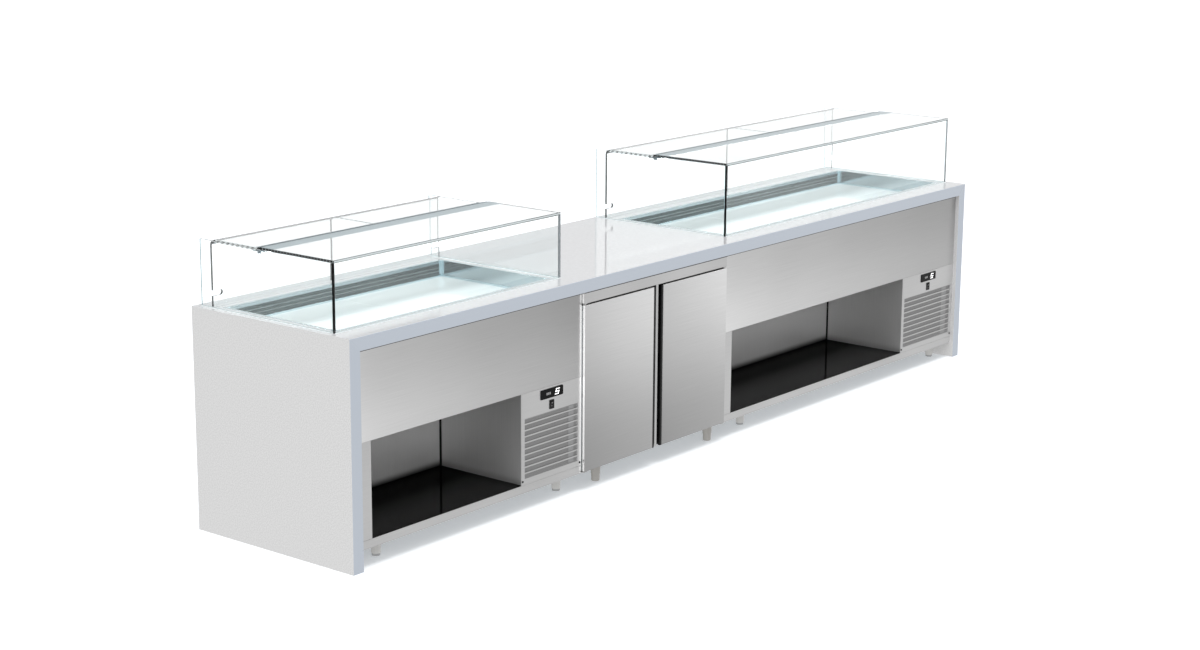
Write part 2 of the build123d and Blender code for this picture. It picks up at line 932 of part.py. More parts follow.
def make_flap_hinge(unit, side):
    flap_x = flap_span(unit, side)
    with BuildPart() as hinge:
        with BuildSketch(Plane.YZ.offset(flap_x[0])):
            with Locations((unit.hinge_y, unit.hinge_z)):
                Circle(bead_radius)
            with Locations((unit.hinge_y + hinge_leaf_length / 2, unit.hinge_z)):
                Rectangle(hinge_leaf_length, neck_thickness)
        extrude(amount=flap_x[1] - flap_x[0])
    return hinge.part


# Cupboard

def make_cupboard_body():
    bottom_z = (cupboard_foot_height, cupboard_foot_height + sheet)
    wall_z = (bottom_z[1] + joint_gap, under_top - joint_gap)
    inner_x = (cupboard_x0 + sheet + joint_gap, cupboard_x1 - sheet - joint_gap)
    wall_y = (seal_y + skin + joint_gap, unit_back)
    inner_y = (seal_y + skin + joint_gap, unit_back - sheet - joint_gap)
    shelf_z = cupboard_foot_height + shelf_height
    with BuildPart() as body:
        block((cupboard_x0, cupboard_x1), (seal_y, unit_back), bottom_z)
        block((cupboard_x0, cupboard_x0 + sheet), wall_y, wall_z)
        block((cupboard_x1 - sheet, cupboard_x1), wall_y, wall_z)
        block(inner_x, (unit_back - sheet, unit_back), wall_z)
        block(inner_x, inner_y, (under_top - joint_gap - sheet, under_top - joint_gap))
        runner_z = (shelf_z - joint_gap - sheet, shelf_z - joint_gap)
        block((inner_x[0], inner_x[0] + runner_width), inner_y, runner_z)
        block((inner_x[1] - runner_width, inner_x[1]), inner_y, runner_z)
    return body.part


def make_face_frame():
    frame_z = (cupboard_foot_height + sheet + joint_gap, rail_bottom - joint_gap)
    seal = (seal_y, seal_y + skin)
    stile_z = frame_z
    rail_y = door_y + top_rail_setback
    with BuildPart() as frame:
        block((cupboard_x0, cupboard_x0 + stile_width), seal, stile_z)
        block((cupboard_x1 - stile_width, cupboard_x1), seal, stile_z)
        land = mullion_land_width / 2
        for side in (-1, 1):
            sill_x = span(
                cupboard_x + side * (land + joint_gap),
                cupboard_x + side * ((cupboard_x1 - cupboard_x0) / 2 - stile_width - joint_gap),
            )
            block(sill_x, seal, (frame_z[0], frame_z[0] + stile_width))
        block((cupboard_x - land, cupboard_x + land), seal, frame_z)
        nose = mullion_nose_width / 2
        nose_y = (door_y + mullion_nose_setback, seal_y - joint_gap)
        block((cupboard_x - nose, cupboard_x + nose), nose_y, frame_z)
        block((cupboard_x0, cupboard_x1), (rail_y, rail_y + skin), (rail_bottom, under_top - joint_gap))
        ceiling_y = (rail_y + skin + joint_gap, seal_y + skin)
        block((cupboard_x0, cupboard_x1), ceiling_y, (rail_bottom, rail_bottom + skin))
        cap_z = (rail_bottom + skin + joint_gap, under_top - joint_gap)
        block((cupboard_x0, cupboard_x0 + skin), ceiling_y, cap_z)
        block((cupboard_x1 - skin, cupboard_x1), ceiling_y, cap_z)
    return frame.part


def make_shelf():
    shelf_z = cupboard_foot_height + shelf_height
    inner_x = (cupboard_x0 + sheet, cupboard_x1 - sheet)
    shelf_y = (seal_y + shelf_front_gap, unit_back - sheet - shelf_clearance)
    with BuildPart() as shelf:
        block(inset(inner_x, shelf_clearance), shelf_y, (shelf_z, shelf_z + shelf_thickness))
        fillet(shelf.edges().filter_by(Axis.X), skin_edge_radius)
    return shelf.part


def make_door_pan(door):
    with BuildPart() as pan:
        block(door.pan_x, (door_y, door_back), (door_bottom, door_top))
        fillet(pan.faces().sort_by(Axis.Y)[0].edges(), door_edge_radius)
        offset(amount=-door_skin, openings=pan.faces().sort_by(Axis.Y)[-1])
        with Locations((door.pin_x, pin_y, (door_bottom + door_top) / 2)):
            Cylinder(pin_radius + pin_hole_margin, door_top - door_bottom, mode=Mode.SUBTRACT)
    return pan.part


def make_door_core(door):
    core_x = inset(door.pan_x, door_skin + joint_gap)
    core_z = inset((door_bottom, door_top), door_skin + joint_gap)
    bore = pin_radius + running_clearance
    with BuildPart() as core:
        block(core_x, (door_y + door_edge_radius, door_back), core_z)
        for end in core_z:
            with Locations((door.pin_x, pin_y, end)):
                Cylinder(bore, 2 * pin_engagement, mode=Mode.SUBTRACT)
    return core.part


def make_gasket(door):
    ring_x = inset(door.pan_x, gasket_inset)
    ring_z = inset((door_bottom, door_top), gasket_inset)
    with BuildPart() as gasket:
        block(ring_x, (door_back, door_back + gasket_thickness), ring_z)
        hole_y = (door_back, door_back + gasket_thickness)
        block(inset(ring_x, gasket_width), hole_y, inset(ring_z, gasket_width), Mode.SUBTRACT)
    return gasket.part


def make_grip(door):
    free = door.x(door_middle_gap / 2)
    grip_x = span(free, door.x(door_middle_gap / 2 + grip_width - joint_gap))
    grip_y = (door_y + grip_setback, door_back)
    groove_x = span(free, door.x(door_middle_gap / 2 + grip_groove_depth))
    middle_y = (grip_y[0] + grip_y[1]) / 2
    groove_y = (middle_y - grip_groove_width / 2, middle_y + grip_groove_width / 2)
    with BuildPart() as grip:
        block(grip_x, grip_y, (door_bottom, door_top))
        fillet(grip.edges().filter_by(Axis.Z), door_edge_radius)
        block(groove_x, groove_y, (door_bottom, door_top), Mode.SUBTRACT)
    return grip.part


def make_door_hinges():
    under_rail = rail_bottom - joint_gap
    under_bottom = cupboard_foot_height - joint_gap
    top_plate = (under_rail - hinge_plate_thickness, under_rail)
    bottom_plate = (under_bottom - hinge_plate_thickness, under_bottom)
    top_pin = (door_top - pin_engagement + joint_gap, top_plate[1])
    bottom_pin = (bottom_plate[0], door_bottom + pin_engagement - joint_gap)
    with BuildPart() as hinges:
        for door in doors:
            plate_x = span(
                door.pin_x + door.side * hinge_plate_margin,
                door.pin_x - door.side * hinge_plate_length,
            )
            top_y = (pin_y - pin_radius, seal_y)
            bottom_y = (pin_y - pin_radius, seal_y + hinge_plate_reach)
            block(plate_x, top_y, top_plate)
            block(plate_x, bottom_y, bottom_plate)
            for pin_z in (top_pin, bottom_pin):
                with Locations((door.pin_x, pin_y, (pin_z[0] + pin_z[1]) / 2)):
                    Cylinder(pin_radius, pin_z[1] - pin_z[0])
    return hinges.part


# Adjustable feet

def make_unit_feet():
    stem_top = base_top - sheet - joint_gap
    collar_z = foot_height - foot_collar_height
    with BuildPart() as foot:
        with BuildSketch(Plane.XZ):
            with BuildLine():
                Polyline(
                    (0, 0),
                    (foot_pad_radius, 0),
                    (foot_pad_radius, foot_pad_height),
                    (foot_body_radius, foot_pad_height),
                    (foot_body_radius, collar_z),
                    (foot_collar_radius, collar_z),
                    (foot_collar_radius, foot_height - joint_gap),
                    (foot_stem_radius, foot_height - joint_gap),
                    (foot_stem_radius, stem_top),
                    (0, stem_top),
                    close=True,
                )
            make_face()
        revolve(axis=Axis.Z)
    with BuildPart() as feet:
        for unit in units:
            foot_x = (unit.x0 + unit.foot_inset, unit.x1 - unit_foot_right_inset)
            foot_y = inset((fascia_y, unit_back), unit_foot_setback)
            with Locations(*[(x, y) for x in foot_x for y in foot_y]):
                add(foot.part)
    return feet.part


def make_cupboard_feet():
    with BuildPart() as foot:
        with BuildSketch(Plane.XZ):
            with BuildLine():
                Polyline(
                    (0, 0),
                    (leg_toe_radius, 0),
                    (leg_step_radius, leg_screw_height),
                    (leg_bottom_radius, leg_screw_height),
                    (leg_top_radius, cupboard_foot_height - joint_gap),
                    (0, cupboard_foot_height - joint_gap),
                    close=True,
                )
            make_face()
        revolve(axis=Axis.Z)
        toe = foot.edges().filter_by(GeomType.CIRCLE).sort_by(Axis.Z)[0]
        fillet(toe, leg_toe_rounding)
    with BuildPart() as feet:
        foot_x = (cupboard_x0 + cupboard_foot_left_inset, cupboard_x1 - cupboard_foot_right_inset)
        foot_y = (seal_y + cupboard_foot_front_setback, unit_back - cupboard_foot_back_setback)
        with Locations(*[(x, y) for x in foot_x for y in foot_y]):
            add(foot.part)
    return feet.part


os.makedirs("parts", exist_ok=True)
save(make_worktop(), "worktop")
save(make_end_panel(-1), "end_panel_left")
save(make_end_panel(1), "end_panel_right")
save(make_cladding(), "customer_cladding")
save(make_base_trays(), "base_trays")
save(make_niche_floors(), "niche_floors")
save(make_cover_screws(), "cover_screws")
save(make_thermostats(), "thermostats")
save(make_switch_bezels(), "switch_bezels")
save(make_insulation(), "insulation")
save(make_decks(), "display_decks")
save(make_evaporators(), "evaporators")
save(make_condensers(), "condensers")
save(make_fan_motors(), "fan_motors")
save(make_compressors(), "compressors")
save(make_led_strips(), "led_strips")
save(make_unit_feet(), "unit_feet")
for unit in units:
    save(make_carcass(unit), f"{unit.name}_carcass")
    save(make_fascia(unit), f"{unit.name}_fascia")
    save(make_niche_lining(unit), f"{unit.name}_niche_lining")
    save(make_cover(unit), f"{unit.name}_service_cover")
    save(make_rocker(unit), f"{unit.name}_switch_rocker")
    save(make_tank(unit), f"{unit.name}_tank")
    save(make_fan(unit), f"{unit.name}_condenser_fan")
    save(make_front_glass(unit), f"{unit.name}_front_glass")
    save(make_end_glass(unit), f"{unit.name}_end_glass")
    save(make_top_glass(unit), f"{unit.name}_top_glass")
    save(make_light_bar(unit), f"{unit.name}_light_bar")
    for side, place in ((-1, "left"), (1, "right")):
        save(make_flap(unit, side), f"{unit.name}_case_{place}_flap")
        save(make_flap_hinge(unit, side), f"{unit.name}_case_{place}_flap_hinge")
save(make_cupboard_body(), "cupboard_body")
save(make_face_frame(), "cupboard_face_frame")
save(make_shelf(), "cupboard_shelf")
save(make_door_hinges(), "door_hinges")
save(make_cupboard_feet(), "cupboard_feet")
for door in doors:
    save(make_door_pan(door), door.name)
    save(make_door_core(door), f"{door.name}_core")
    save(make_gasket(door), f"{door.name}_gasket")
    save(make_grip(door), f"{door.name}_grip")
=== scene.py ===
import math

import bmesh
import bpy
from mathutils import Matrix, Vector


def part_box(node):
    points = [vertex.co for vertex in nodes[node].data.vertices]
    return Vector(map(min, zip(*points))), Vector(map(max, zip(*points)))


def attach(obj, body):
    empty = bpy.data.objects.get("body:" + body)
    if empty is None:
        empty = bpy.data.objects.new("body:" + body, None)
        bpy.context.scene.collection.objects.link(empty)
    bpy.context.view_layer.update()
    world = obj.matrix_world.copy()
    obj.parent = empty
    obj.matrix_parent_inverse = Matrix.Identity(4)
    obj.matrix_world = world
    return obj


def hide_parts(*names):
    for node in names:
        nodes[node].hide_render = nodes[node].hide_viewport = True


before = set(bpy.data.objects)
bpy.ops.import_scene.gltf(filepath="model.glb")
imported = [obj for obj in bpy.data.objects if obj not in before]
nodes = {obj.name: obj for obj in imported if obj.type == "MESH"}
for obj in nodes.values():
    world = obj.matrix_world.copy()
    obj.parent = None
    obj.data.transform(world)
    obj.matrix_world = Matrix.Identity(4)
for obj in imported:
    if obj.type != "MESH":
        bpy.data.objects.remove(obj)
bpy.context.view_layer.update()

mm = 0.001
unitSides = {"left": -1, "right": 1}  # the two refrigerated units, left and right of the cupboard
doorNames = ("door_left", "door_right")
flapNames = [f"{unit}_case_{side}_flap" for unit in unitSides for side in ("left", "right")]
print("frame loaded with", len(nodes), "CAD nodes")


# Small tools

def linear(hexCode, strength=1.0):
    # an sRGB hex code as Blender's linear colour
    shares = [int(hexCode[i:i + 2], 16) / 255 for i in (1, 3, 5)]
    return [strength * (s / 12.92 if s <= 0.04045 else ((s + 0.055) / 1.055) ** 2.4) for s in shares] + [1.0]


def feed(node, inputs):
    # links an output, or sets a plain value or an sRGB hex code
    for socket, value in inputs.items():
        if isinstance(value, bpy.types.NodeSocket):
            node.id_data.links.new(value, node.inputs[socket])
        else:
            node.inputs[socket].default_value = linear(value) if isinstance(value, str) else value


def addNode(tree, kind, inputs=None, stops=None, **settings):
    # returns the new node's outputs; stops are the places and sRGB hex codes of a soft colour ramp
    node = tree.nodes.new("ShaderNode" + kind)
    for name, value in settings.items():
        setattr(node, name, value)
    if stops:
        marks = node.color_ramp.elements
        node.color_ramp.interpolation = "EASE"
        for i, (place, hexCode) in enumerate(stops.items()):
            mark = marks[i] if i < 2 else marks.new(place)
            mark.position = place
            mark.color = linear(hexCode)
    feed(node, inputs or {})
    return node.outputs


def newMaterial(name, **constants):
    # constants are shader sockets with spaces written as underscores
    # place holds the texture coordinates, of which Object is the rest position in metres
    material = bpy.data.materials.new(name)
    material.use_nodes = True
    tree = material.node_tree
    shader = tree.nodes["Principled BSDF"]
    feed(shader, {socket.replace("_", " "): value for socket, value in constants.items()})
    place = addNode(tree, "TexCoord")
    return material, tree, shader, place


def sideBox(node, side):
    # the box of the solids of a shared node that lie left (-1) or right (1) of the counter's middle
    points = [v.co for v in nodes[node].data.vertices if v.co.x * side > 0]
    low = Vector([min(p[i] for p in points) for i in range(3)])
    high = Vector([max(p[i] for p in points) for i in range(3)])
    return low, high


def addBox(bm, low, high):
    middle = [(a + b) / 2 for a, b in zip(low, high)]
    size = [abs(b - a) for a, b in zip(low, high)]
    place = Matrix.Translation(middle) @ Matrix.Diagonal((*size, 1.0))
    return bmesh.ops.create_cube(bm, size=1.0, matrix=place)["verts"]


def addRod(bm, start, end, radius, sides=16):
    along = Vector(end) - Vector(start)
    turn = along.to_track_quat("Z", "Y").to_matrix().to_4x4()
    place = Matrix.Translation((Vector(start) + Vector(end)) / 2) @ turn
    bmesh.ops.create_cone(
        bm, cap_ends=True, segments=sides, radius1=radius, radius2=radius, depth=along.length, matrix=place
    )


def addSweep(bm, stations, closed=False):
    # joins equal rows of points into a skin; an open sweep gets its two ends
    rows = [[bm.verts.new(p) for p in row] for row in stations]
    following = rows[1:] + rows[:1] if closed else rows[1:]
    for row, after in zip(rows, following):
        for i in range(len(row)):
            j = (i + 1) % len(row)
            bm.faces.new((row[i], row[j], after[j], after[i]))
    if not closed:
        bm.faces.new(rows[0])
        bm.faces.new(rows[-1])


def addBar(bm, axis, section, ends):
    # runs a section along an axis; its pairs are the two other coordinates
    addSweep(bm, [[(*pair[:axis], end, *pair[axis:]) for pair in section] for end in ends])


def addMitredFrame(bm, low, high, level, axis, profile):
    # sweeps a profile of (distance inward, height) pairs round a rectangle
    # axis 2 lays the rectangle flat at z = level, axis 1 stands it up at y = level
    second = 3 - axis
    stations = []
    for a, b in ((0, 0), (1, 0), (1, 1), (0, 1)):
        row = []
        for inward, height in profile:
            point = Vector((0, 0, 0))
            point[0] = (high[0] - inward) if a else (low[0] + inward)
            point[second] = (high[second] - inward) if b else (low[second] + inward)
            point[axis] = level + height
            row.append(point)
        stations.append(row)
    addSweep(bm, stations, closed=True)


def hollowFillet(corner, first, second, radius, steps=6):
    # the section of a tooled bead in a corner between the directions first and second
    points = [Vector(corner)]
    for step in range(steps + 1):
        angle = math.pi / 2 * step / steps
        out, up = radius * (1 - math.sin(angle)), radius * (1 - math.cos(angle))
        points.append(Vector(corner) + Vector(first) * out + Vector(second) * up)
    return points


def roundEdges(piece, width):
    rounding = piece.modifiers.new("edge rounding", "BEVEL")
    rounding.width = width
    rounding.segments = 2
    rounding.limit_method = "ANGLE"
    rounding.angle_limit = math.radians(40)


def addPiece(name, bm, material, body="counter", bevel=0.0):
    bmesh.ops.recalc_face_normals(bm, faces=bm.faces)
    mesh = bpy.data.meshes.new(name)
    bm.to_mesh(mesh)
    bm.free()
    mesh.materials.append(material)
    piece = bpy.data.objects.new(name, mesh)
    bpy.context.scene.collection.objects.link(piece)
    if bevel:
        roundEdges(piece, bevel)
    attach(piece, body)
    return piece


# Materials

def makeLaminate(name, look):
    # Laminated board: a pressed face with fine specks, and a plain glued edge band, a little cooler, whose
    # colour is also painted darker as painted shade on the board's edges
    material, tree, shader, place = newMaterial(name, Roughness=look["rough"], IOR=1.5)
    specks = addNode(tree, "TexNoise", {
        "Vector": place["Object"], "Scale": 1 / look["speckSize"], "Detail": 3.0,
    })
    spread = addNode(tree, "MapRange", {"Value": specks["Fac"], "From Min": 0.4, "From Max": 0.62})
    face = addNode(tree, "Mix", {
        "Factor": spread["Result"], 6: look["speck"], 7: look["face"],
    }, data_type="RGBA")
    turned = addNode(tree, "SeparateXYZ", {"Vector": place["Normal"]})
    squared = addNode(tree, "Math", {0: turned[look["faceAxis"]], 1: 2.0}, operation="POWER")
    onFace = addNode(tree, "Math", {0: squared["Value"], 1: 0.5}, operation="GREATER_THAN")
    # painted shade: the faces across the face axis take the darker, bluer edge colour
    tone = addNode(tree, "Mix", {"Factor": onFace["Value"], 6: look["edge"], 7: face[2]}, data_type="RGBA")
    bump = addNode(tree, "Bump", {"Height": specks["Fac"], "Distance": look["speckDepth"]})
    feed(shader, {"Base Color": tone[2], "Normal": bump["Normal"]})
    return material


plainSheet = {
    "dark": "#c2c2c2", "light": "#d8d8d8", "rough": (0.26, 0.36), "metallic": 1.0, "tint": "#ffffff",
    # real brush lines are about 0.2 mm wide, drawn wider so that they show; along is their axis
    "along": 0, "lineWidth": 1.6 * mm, "lineLength": 260 * mm, "lineDepth": 0.006 * mm,
    "lineTone": (0.95, 1.04), "waveSize": 420 * mm, "waveDepth": 12 * mm, "fold": 2.5 * mm,
}


def makeStainless(name, paintedSheen=None, **changes):
    # Brushed sheet metal: fine lines along one axis and soft cloudy streaks of lighter and darker metal; on
    # the large sheets, ramps of painted sheen and painted shade, standing in for the room's soft reflections,
    # take the streaks' place
    look = {**plainSheet, **changes}
    material, tree, shader, place = newMaterial(name, Metallic=look["metallic"], Specular_Tint=look["tint"])
    spacing = [look["lineWidth"]] * 3
    spacing[look["along"]] = look["lineLength"]
    stretched = addNode(tree, "Mapping", {"Vector": place["Object"], "Scale": [1 / s for s in spacing]})
    lines = addNode(tree, "TexNoise", {"Vector": stretched["Vector"], "Scale": 1.0, "Detail": 3.0})
    waves = addNode(tree, "TexNoise", {
        "Vector": place["Object"], "Scale": 1 / look["waveSize"], "Detail": 0.0,
    })
    if paintedSheen:
        # painted sheen and painted shade: two upright ramps, at the sheet's left and right ends, blend into
        # each other
        low, high = paintedSheen["box"]
        parts = addNode(tree, "SeparateXYZ", {"Vector": place["Object"]})
        across = addNode(tree, "MapRange", {"Value": parts["X"], "From Min": low.x, "From Max": high.x})
        upward = addNode(tree, "MapRange", {"Value": parts["Z"], "From Min": low.z, "From Max": high.z})
        leaning = addNode(tree, "Math", {0: across["Result"], 1: paintedSheen.get("lean", 1.0)}, operation="POWER")
        height = {"Fac": upward["Result"]}
        ends = [addNode(tree, "ValToRGB", height, paintedSheen[end]) for end in ("left", "right")]
        blend = addNode(tree, "Mix", {
            "Factor": leaning["Value"], 6: ends[0]["Color"], 7: ends[1]["Color"],
        }, data_type="RGBA")
        # painted shade: a sheet that reaches into the counter may be darker at its front
        inward = addNode(tree, "MapRange", {
            "Value": parts["Y"], "From Min": low.y, "From Max": high.y,
            "To Min": paintedSheen.get("frontShadeShare", 1.0),
        })
        mottleAndPaintedSheen = addNode(tree, "Mix", {
            "Factor": 1.0, 6: blend[2], 7: inward["Result"],
        }, data_type="RGBA", blend_type="MULTIPLY")
    else:
        mottleAndPaintedSheen = addNode(tree, "Mix", {
            "Factor": waves["Fac"], 6: look["dark"], 7: look["light"],
        }, data_type="RGBA")
    streak = addNode(tree, "MapRange", {
        "Value": lines["Fac"], "From Min": 0.3, "From Max": 0.7,
        "To Min": look["lineTone"][0], "To Max": look["lineTone"][1],
    })
    tone = addNode(tree, "Mix", {
        "Factor": 1.0, 6: mottleAndPaintedSheen[2], 7: streak["Result"],
    }, data_type="RGBA", blend_type="MULTIPLY")
    rough = addNode(tree, "MapRange", {
        "Value": lines["Fac"], "To Min": look["rough"][0], "To Max": look["rough"][1],
    })
    folded = addNode(tree, "Bevel", {"Radius": look["fold"]})  # the soft corner of a folded edge
    bowing = addNode(tree, "Bump", {
        "Height": waves["Fac"], "Distance": look["waveDepth"], "Normal": folded["Normal"],
    })
    brushing = addNode(tree, "Bump", {
        "Height": lines["Fac"], "Distance": look["lineDepth"], "Normal": bowing["Normal"],
    })
    feed(shader, {"Base Color": tone[2], "Roughness": rough["Result"], "Normal": brushing["Normal"]})
    return material


def makeGrained(name, dark, light, rough, grain, depth, ior=1.5, gloss=0.5, glow=0.0, paintedBackShade=None):
    # Moulded, cast or coated surfaces: one colour with a fine grain that varies tone and breaks up gloss
    material, tree, shader, place = newMaterial(
        name, IOR=ior, Specular_IOR_Level=gloss, Emission_Strength=glow
    )
    grains = addNode(tree, "TexNoise", {"Vector": place["Object"], "Scale": 1 / grain, "Detail": 2.0})
    tone = addNode(tree, "Mix", {"Factor": grains["Fac"], 6: dark, 7: light}, data_type="RGBA")
    spread = addNode(tree, "MapRange", {"Value": grains["Fac"], "To Min": rough[0], "To Max": rough[1]})
    bump = addNode(tree, "Bump", {"Height": grains["Fac"], "Distance": depth})
    feed(shader, {
        "Base Color": tone[2], "Emission Color": tone[2],
        "Roughness": spread["Result"], "Normal": bump["Normal"],
    })
    if paintedBackShade:
        # painted shade: what the sheet mirrors fades towards its back, so the floor darkens near the niche's
        # back wall
        parts = addNode(tree, "SeparateXYZ", {"Vector": place["Object"]})
        fading = addNode(tree, "MapRange", {
            "Value": parts["Y"], "From Min": paintedBackShade["start"], "From Max": paintedBackShade["end"],
            "To Min": gloss, "To Max": paintedBackShade["gloss"],
        }, interpolation_type="SMOOTHSTEP")
        feed(shader, {"Specular IOR Level": fading["Result"]})
    return material


def makeGlass(name, lines):
    # Toughened float glass: clear faces, and polished edges and bends that draw thin grey lines, partly the
    # glass's own tint where light takes a long way along the pane, partly painted shade, near black along
    # some edges and the bends
    # lines give the tint where the product of two parts of the surface's direction is over a limit
    clearTint, passingTint = "#fcfefe", "#fafdfd"
    material, tree, shader, place = newMaterial(name, Roughness=0.0, IOR=1.5, Transmission_Weight=1.0)
    turned = addNode(tree, "SeparateXYZ", {"Vector": place["Normal"]})
    tone = clearTint
    for first, second, least, tint in lines:
        facing = addNode(tree, "Math", {0: turned[first], 1: turned[second]}, operation="MULTIPLY")
        onLine = addNode(tree, "Math", {0: facing["Value"], 1: least}, operation="GREATER_THAN")
        tone = addNode(tree, "Mix", {"Factor": onLine["Value"], 6: tone, 7: tint}, data_type="RGBA")[2]
    feed(shader, {"Base Color": tone})
    # light from the lamps and the room goes straight through, as it does through a thin pane
    path = addNode(tree, "LightPath")
    straight = addNode(tree, "Math", {
        0: path["Is Shadow Ray"], 1: path["Is Diffuse Ray"],
    }, operation="MAXIMUM")
    clear = addNode(tree, "BsdfTransparent", {"Color": passingTint})
    mix = addNode(tree, "MixShader", {0: straight["Value"], 1: shader.outputs["BSDF"], 2: clear["BSDF"]})
    feed(tree.nodes["Material Output"], {"Surface": mix["Shader"]})
    return material


def makeGroundEdge(name, look):
    # Ground edge of a pane, with painted shade and painted reflection: painted dark where it stands and
    # bends, where light would stay inside the glass, and along the top run a painted bright arris over short
    # dark dashes, where the room would show in it
    material, tree, shader, place = newMaterial(name, Roughness=0.2, IOR=1.5)
    parts = addNode(tree, "SeparateXYZ", {"Vector": place["Object"]})
    patches = addNode(tree, "TexNoise", {"Vector": place["Object"], "Scale": 1 / (60 * mm)})
    standing = addNode(tree, "Mix", {
        "Factor": patches["Fac"], 6: look["deep"], 7: look["dark"],
    }, data_type="RGBA")
    step = addNode(tree, "Math", {0: parts["Y"], 1: look["dash"]}, operation="FLOORED_MODULO")
    onGap = addNode(tree, "Math", {
        0: step["Value"], 1: look["dash"] * look["darkShare"],
    }, operation="GREATER_THAN")
    onArris = addNode(tree, "Math", {0: parts["Z"], 1: look["arris"]}, operation="GREATER_THAN")
    light = addNode(tree, "Math", {0: onGap["Value"], 1: onArris["Value"]}, operation="MAXIMUM")
    ahead = addNode(tree, "Math", {0: parts["Y"], 1: look["bendStart"]}, operation="LESS_THAN")
    broken = addNode(tree, "Math", {0: light["Value"], 1: ahead["Value"]}, operation="MULTIPLY")
    tone = addNode(tree, "Mix", {
        "Factor": broken["Value"], 6: standing[2], 7: look["bright"],
    }, data_type="RGBA")
    feed(shader, {"Base Color": tone[2]})
    return material


def makeFootPlastic():
    # Moulded polyamide foot on a rubber pad: pale grey, a darker ring where it meets the floor
    look = {"body": "#dcdcda", "pad": "#b0b2b3", "padHeight": 9 * mm, "grain": 2 * mm, "rough": (0.32, 0.46)}
    material, tree, shader, place = newMaterial("moulded polyamide on a rubber pad", IOR=1.53)
    parts = addNode(tree, "SeparateXYZ", {"Vector": place["Object"]})
    above = addNode(tree, "Math", {0: parts["Z"], 1: look["padHeight"]}, operation="GREATER_THAN")
    tone = addNode(tree, "Mix", {"Factor": above["Value"], 6: look["pad"], 7: look["body"]}, data_type="RGBA")
    grain = addNode(tree, "TexNoise", {"Vector": place["Object"], "Scale": 1 / look["grain"], "Detail": 2.0})
    rough = addNode(tree, "MapRange", {
        "Value": grain["Fac"], "To Min": look["rough"][0], "To Max": look["rough"][1],
    })
    feed(shader, {"Base Color": tone[2], "Roughness": rough["Result"]})
    return material


def makeFilterMesh():
    # Knitted aluminium filter: a grey weave of fine wires over darker gaps
    look = {
        "wire": "#a2a2a2", "gap": "#6c6c6c", "depth": 0.4 * mm,
        # the real wires stand about 1.5 mm apart, drawn wider so that they show
        "pitch": 4 * mm, "waveLength": 0.314,  # a wave texture's own length, in metres
    }
    material, tree, shader, place = newMaterial("knitted aluminium mesh", Metallic=0.4, Roughness=0.5)
    waves = [
        addNode(tree, "TexWave", {
            "Vector": place["Object"], "Scale": look["waveLength"] / look["pitch"],
            "Distortion": 0.6, "Detail": 0.0,
        }, bands_direction=direction)
        for direction in ("X", "Z")
    ]
    weave = addNode(tree, "Math", {0: waves[0]["Fac"], 1: waves[1]["Fac"]}, operation="MAXIMUM")
    tone = addNode(tree, "Mix", {"Factor": weave["Value"], 6: look["gap"], 7: look["wire"]}, data_type="RGBA")
    bump = addNode(tree, "Bump", {"Height": weave["Value"], "Distance": look["depth"]})
    feed(shader, {"Base Color": tone[2], "Normal": bump["Normal"]})
    return material


def makeLit(name, hexCode, strength):
    # Light-emitting segments behind a smoked window: a glow with slightly dimmer patches
    look = {"patch": 3 * mm, "dim": 0.85}
    material, tree, shader, place = newMaterial(name, Roughness=0.4, Emission_Strength=strength)
    glow = addNode(tree, "TexNoise", {"Vector": place["Object"], "Scale": 1 / look["patch"]})
    tone = addNode(tree, "Mix", {
        "Factor": glow["Fac"], 6: linear(hexCode, look["dim"]), 7: hexCode,
    }, data_type="RGBA")
    feed(shader, {"Base Color": tone[2], "Emission Color": tone[2]})
    return material


# the edge colours are partly a glued band's own tone, partly painted shade: darker and bluer, for the shade
# on the boards' edges
glossLaminate = makeLaminate("gloss white laminate", {
    "face": "#cdcdcf", "speck": "#c9c9cb", "edge": "#cdd5e0", "faceAxis": "Z", "rough": 0.06,
    "speckSize": 14 * mm, "speckDepth": 0.012 * mm,
})
# the real pearl grain is about 1 mm, drawn coarser so that it shows at this distance
pearlGrain = {
    # the edge colour is darker and bluer than the face: partly the band's tone, partly painted shade
    "face": "#f3f3f3", "speck": "#e5e5e5", "edge": "#cbd3de", "rough": 0.4,
    "speckSize": 5 * mm, "speckDepth": 0.08 * mm,
}
endBoard = makeLaminate("pearl melamine end board", {**pearlGrain, "faceAxis": "X"})
backBoard = makeLaminate("pearl melamine back board", {**pearlGrain, "faceAxis": "Y"})

# a few greys of painted sheen and painted shade, from which the large sheets shade softly from the foot to
# the top of their two ends, standing in for soft reflections
sheenGreys = {"pale": "#f0f0f0", "light": "#d8d8d8", "mid": "#bcbcbc", "dark": "#a8a8a8", "black": "#202020"}
fasciaPaintedSheen = {
    "left": {0.0: sheenGreys["pale"], 1.0: sheenGreys["light"]},
    "right": {0.0: sheenGreys["mid"], 1.0: sheenGreys["dark"]},
    "lean": 0.7,
}
doorPaintedSheen = {
    "left": {0.0: sheenGreys["dark"], 1.0: sheenGreys["light"]},
    "right": {0.0: sheenGreys["mid"], 1.0: sheenGreys["pale"]},
}
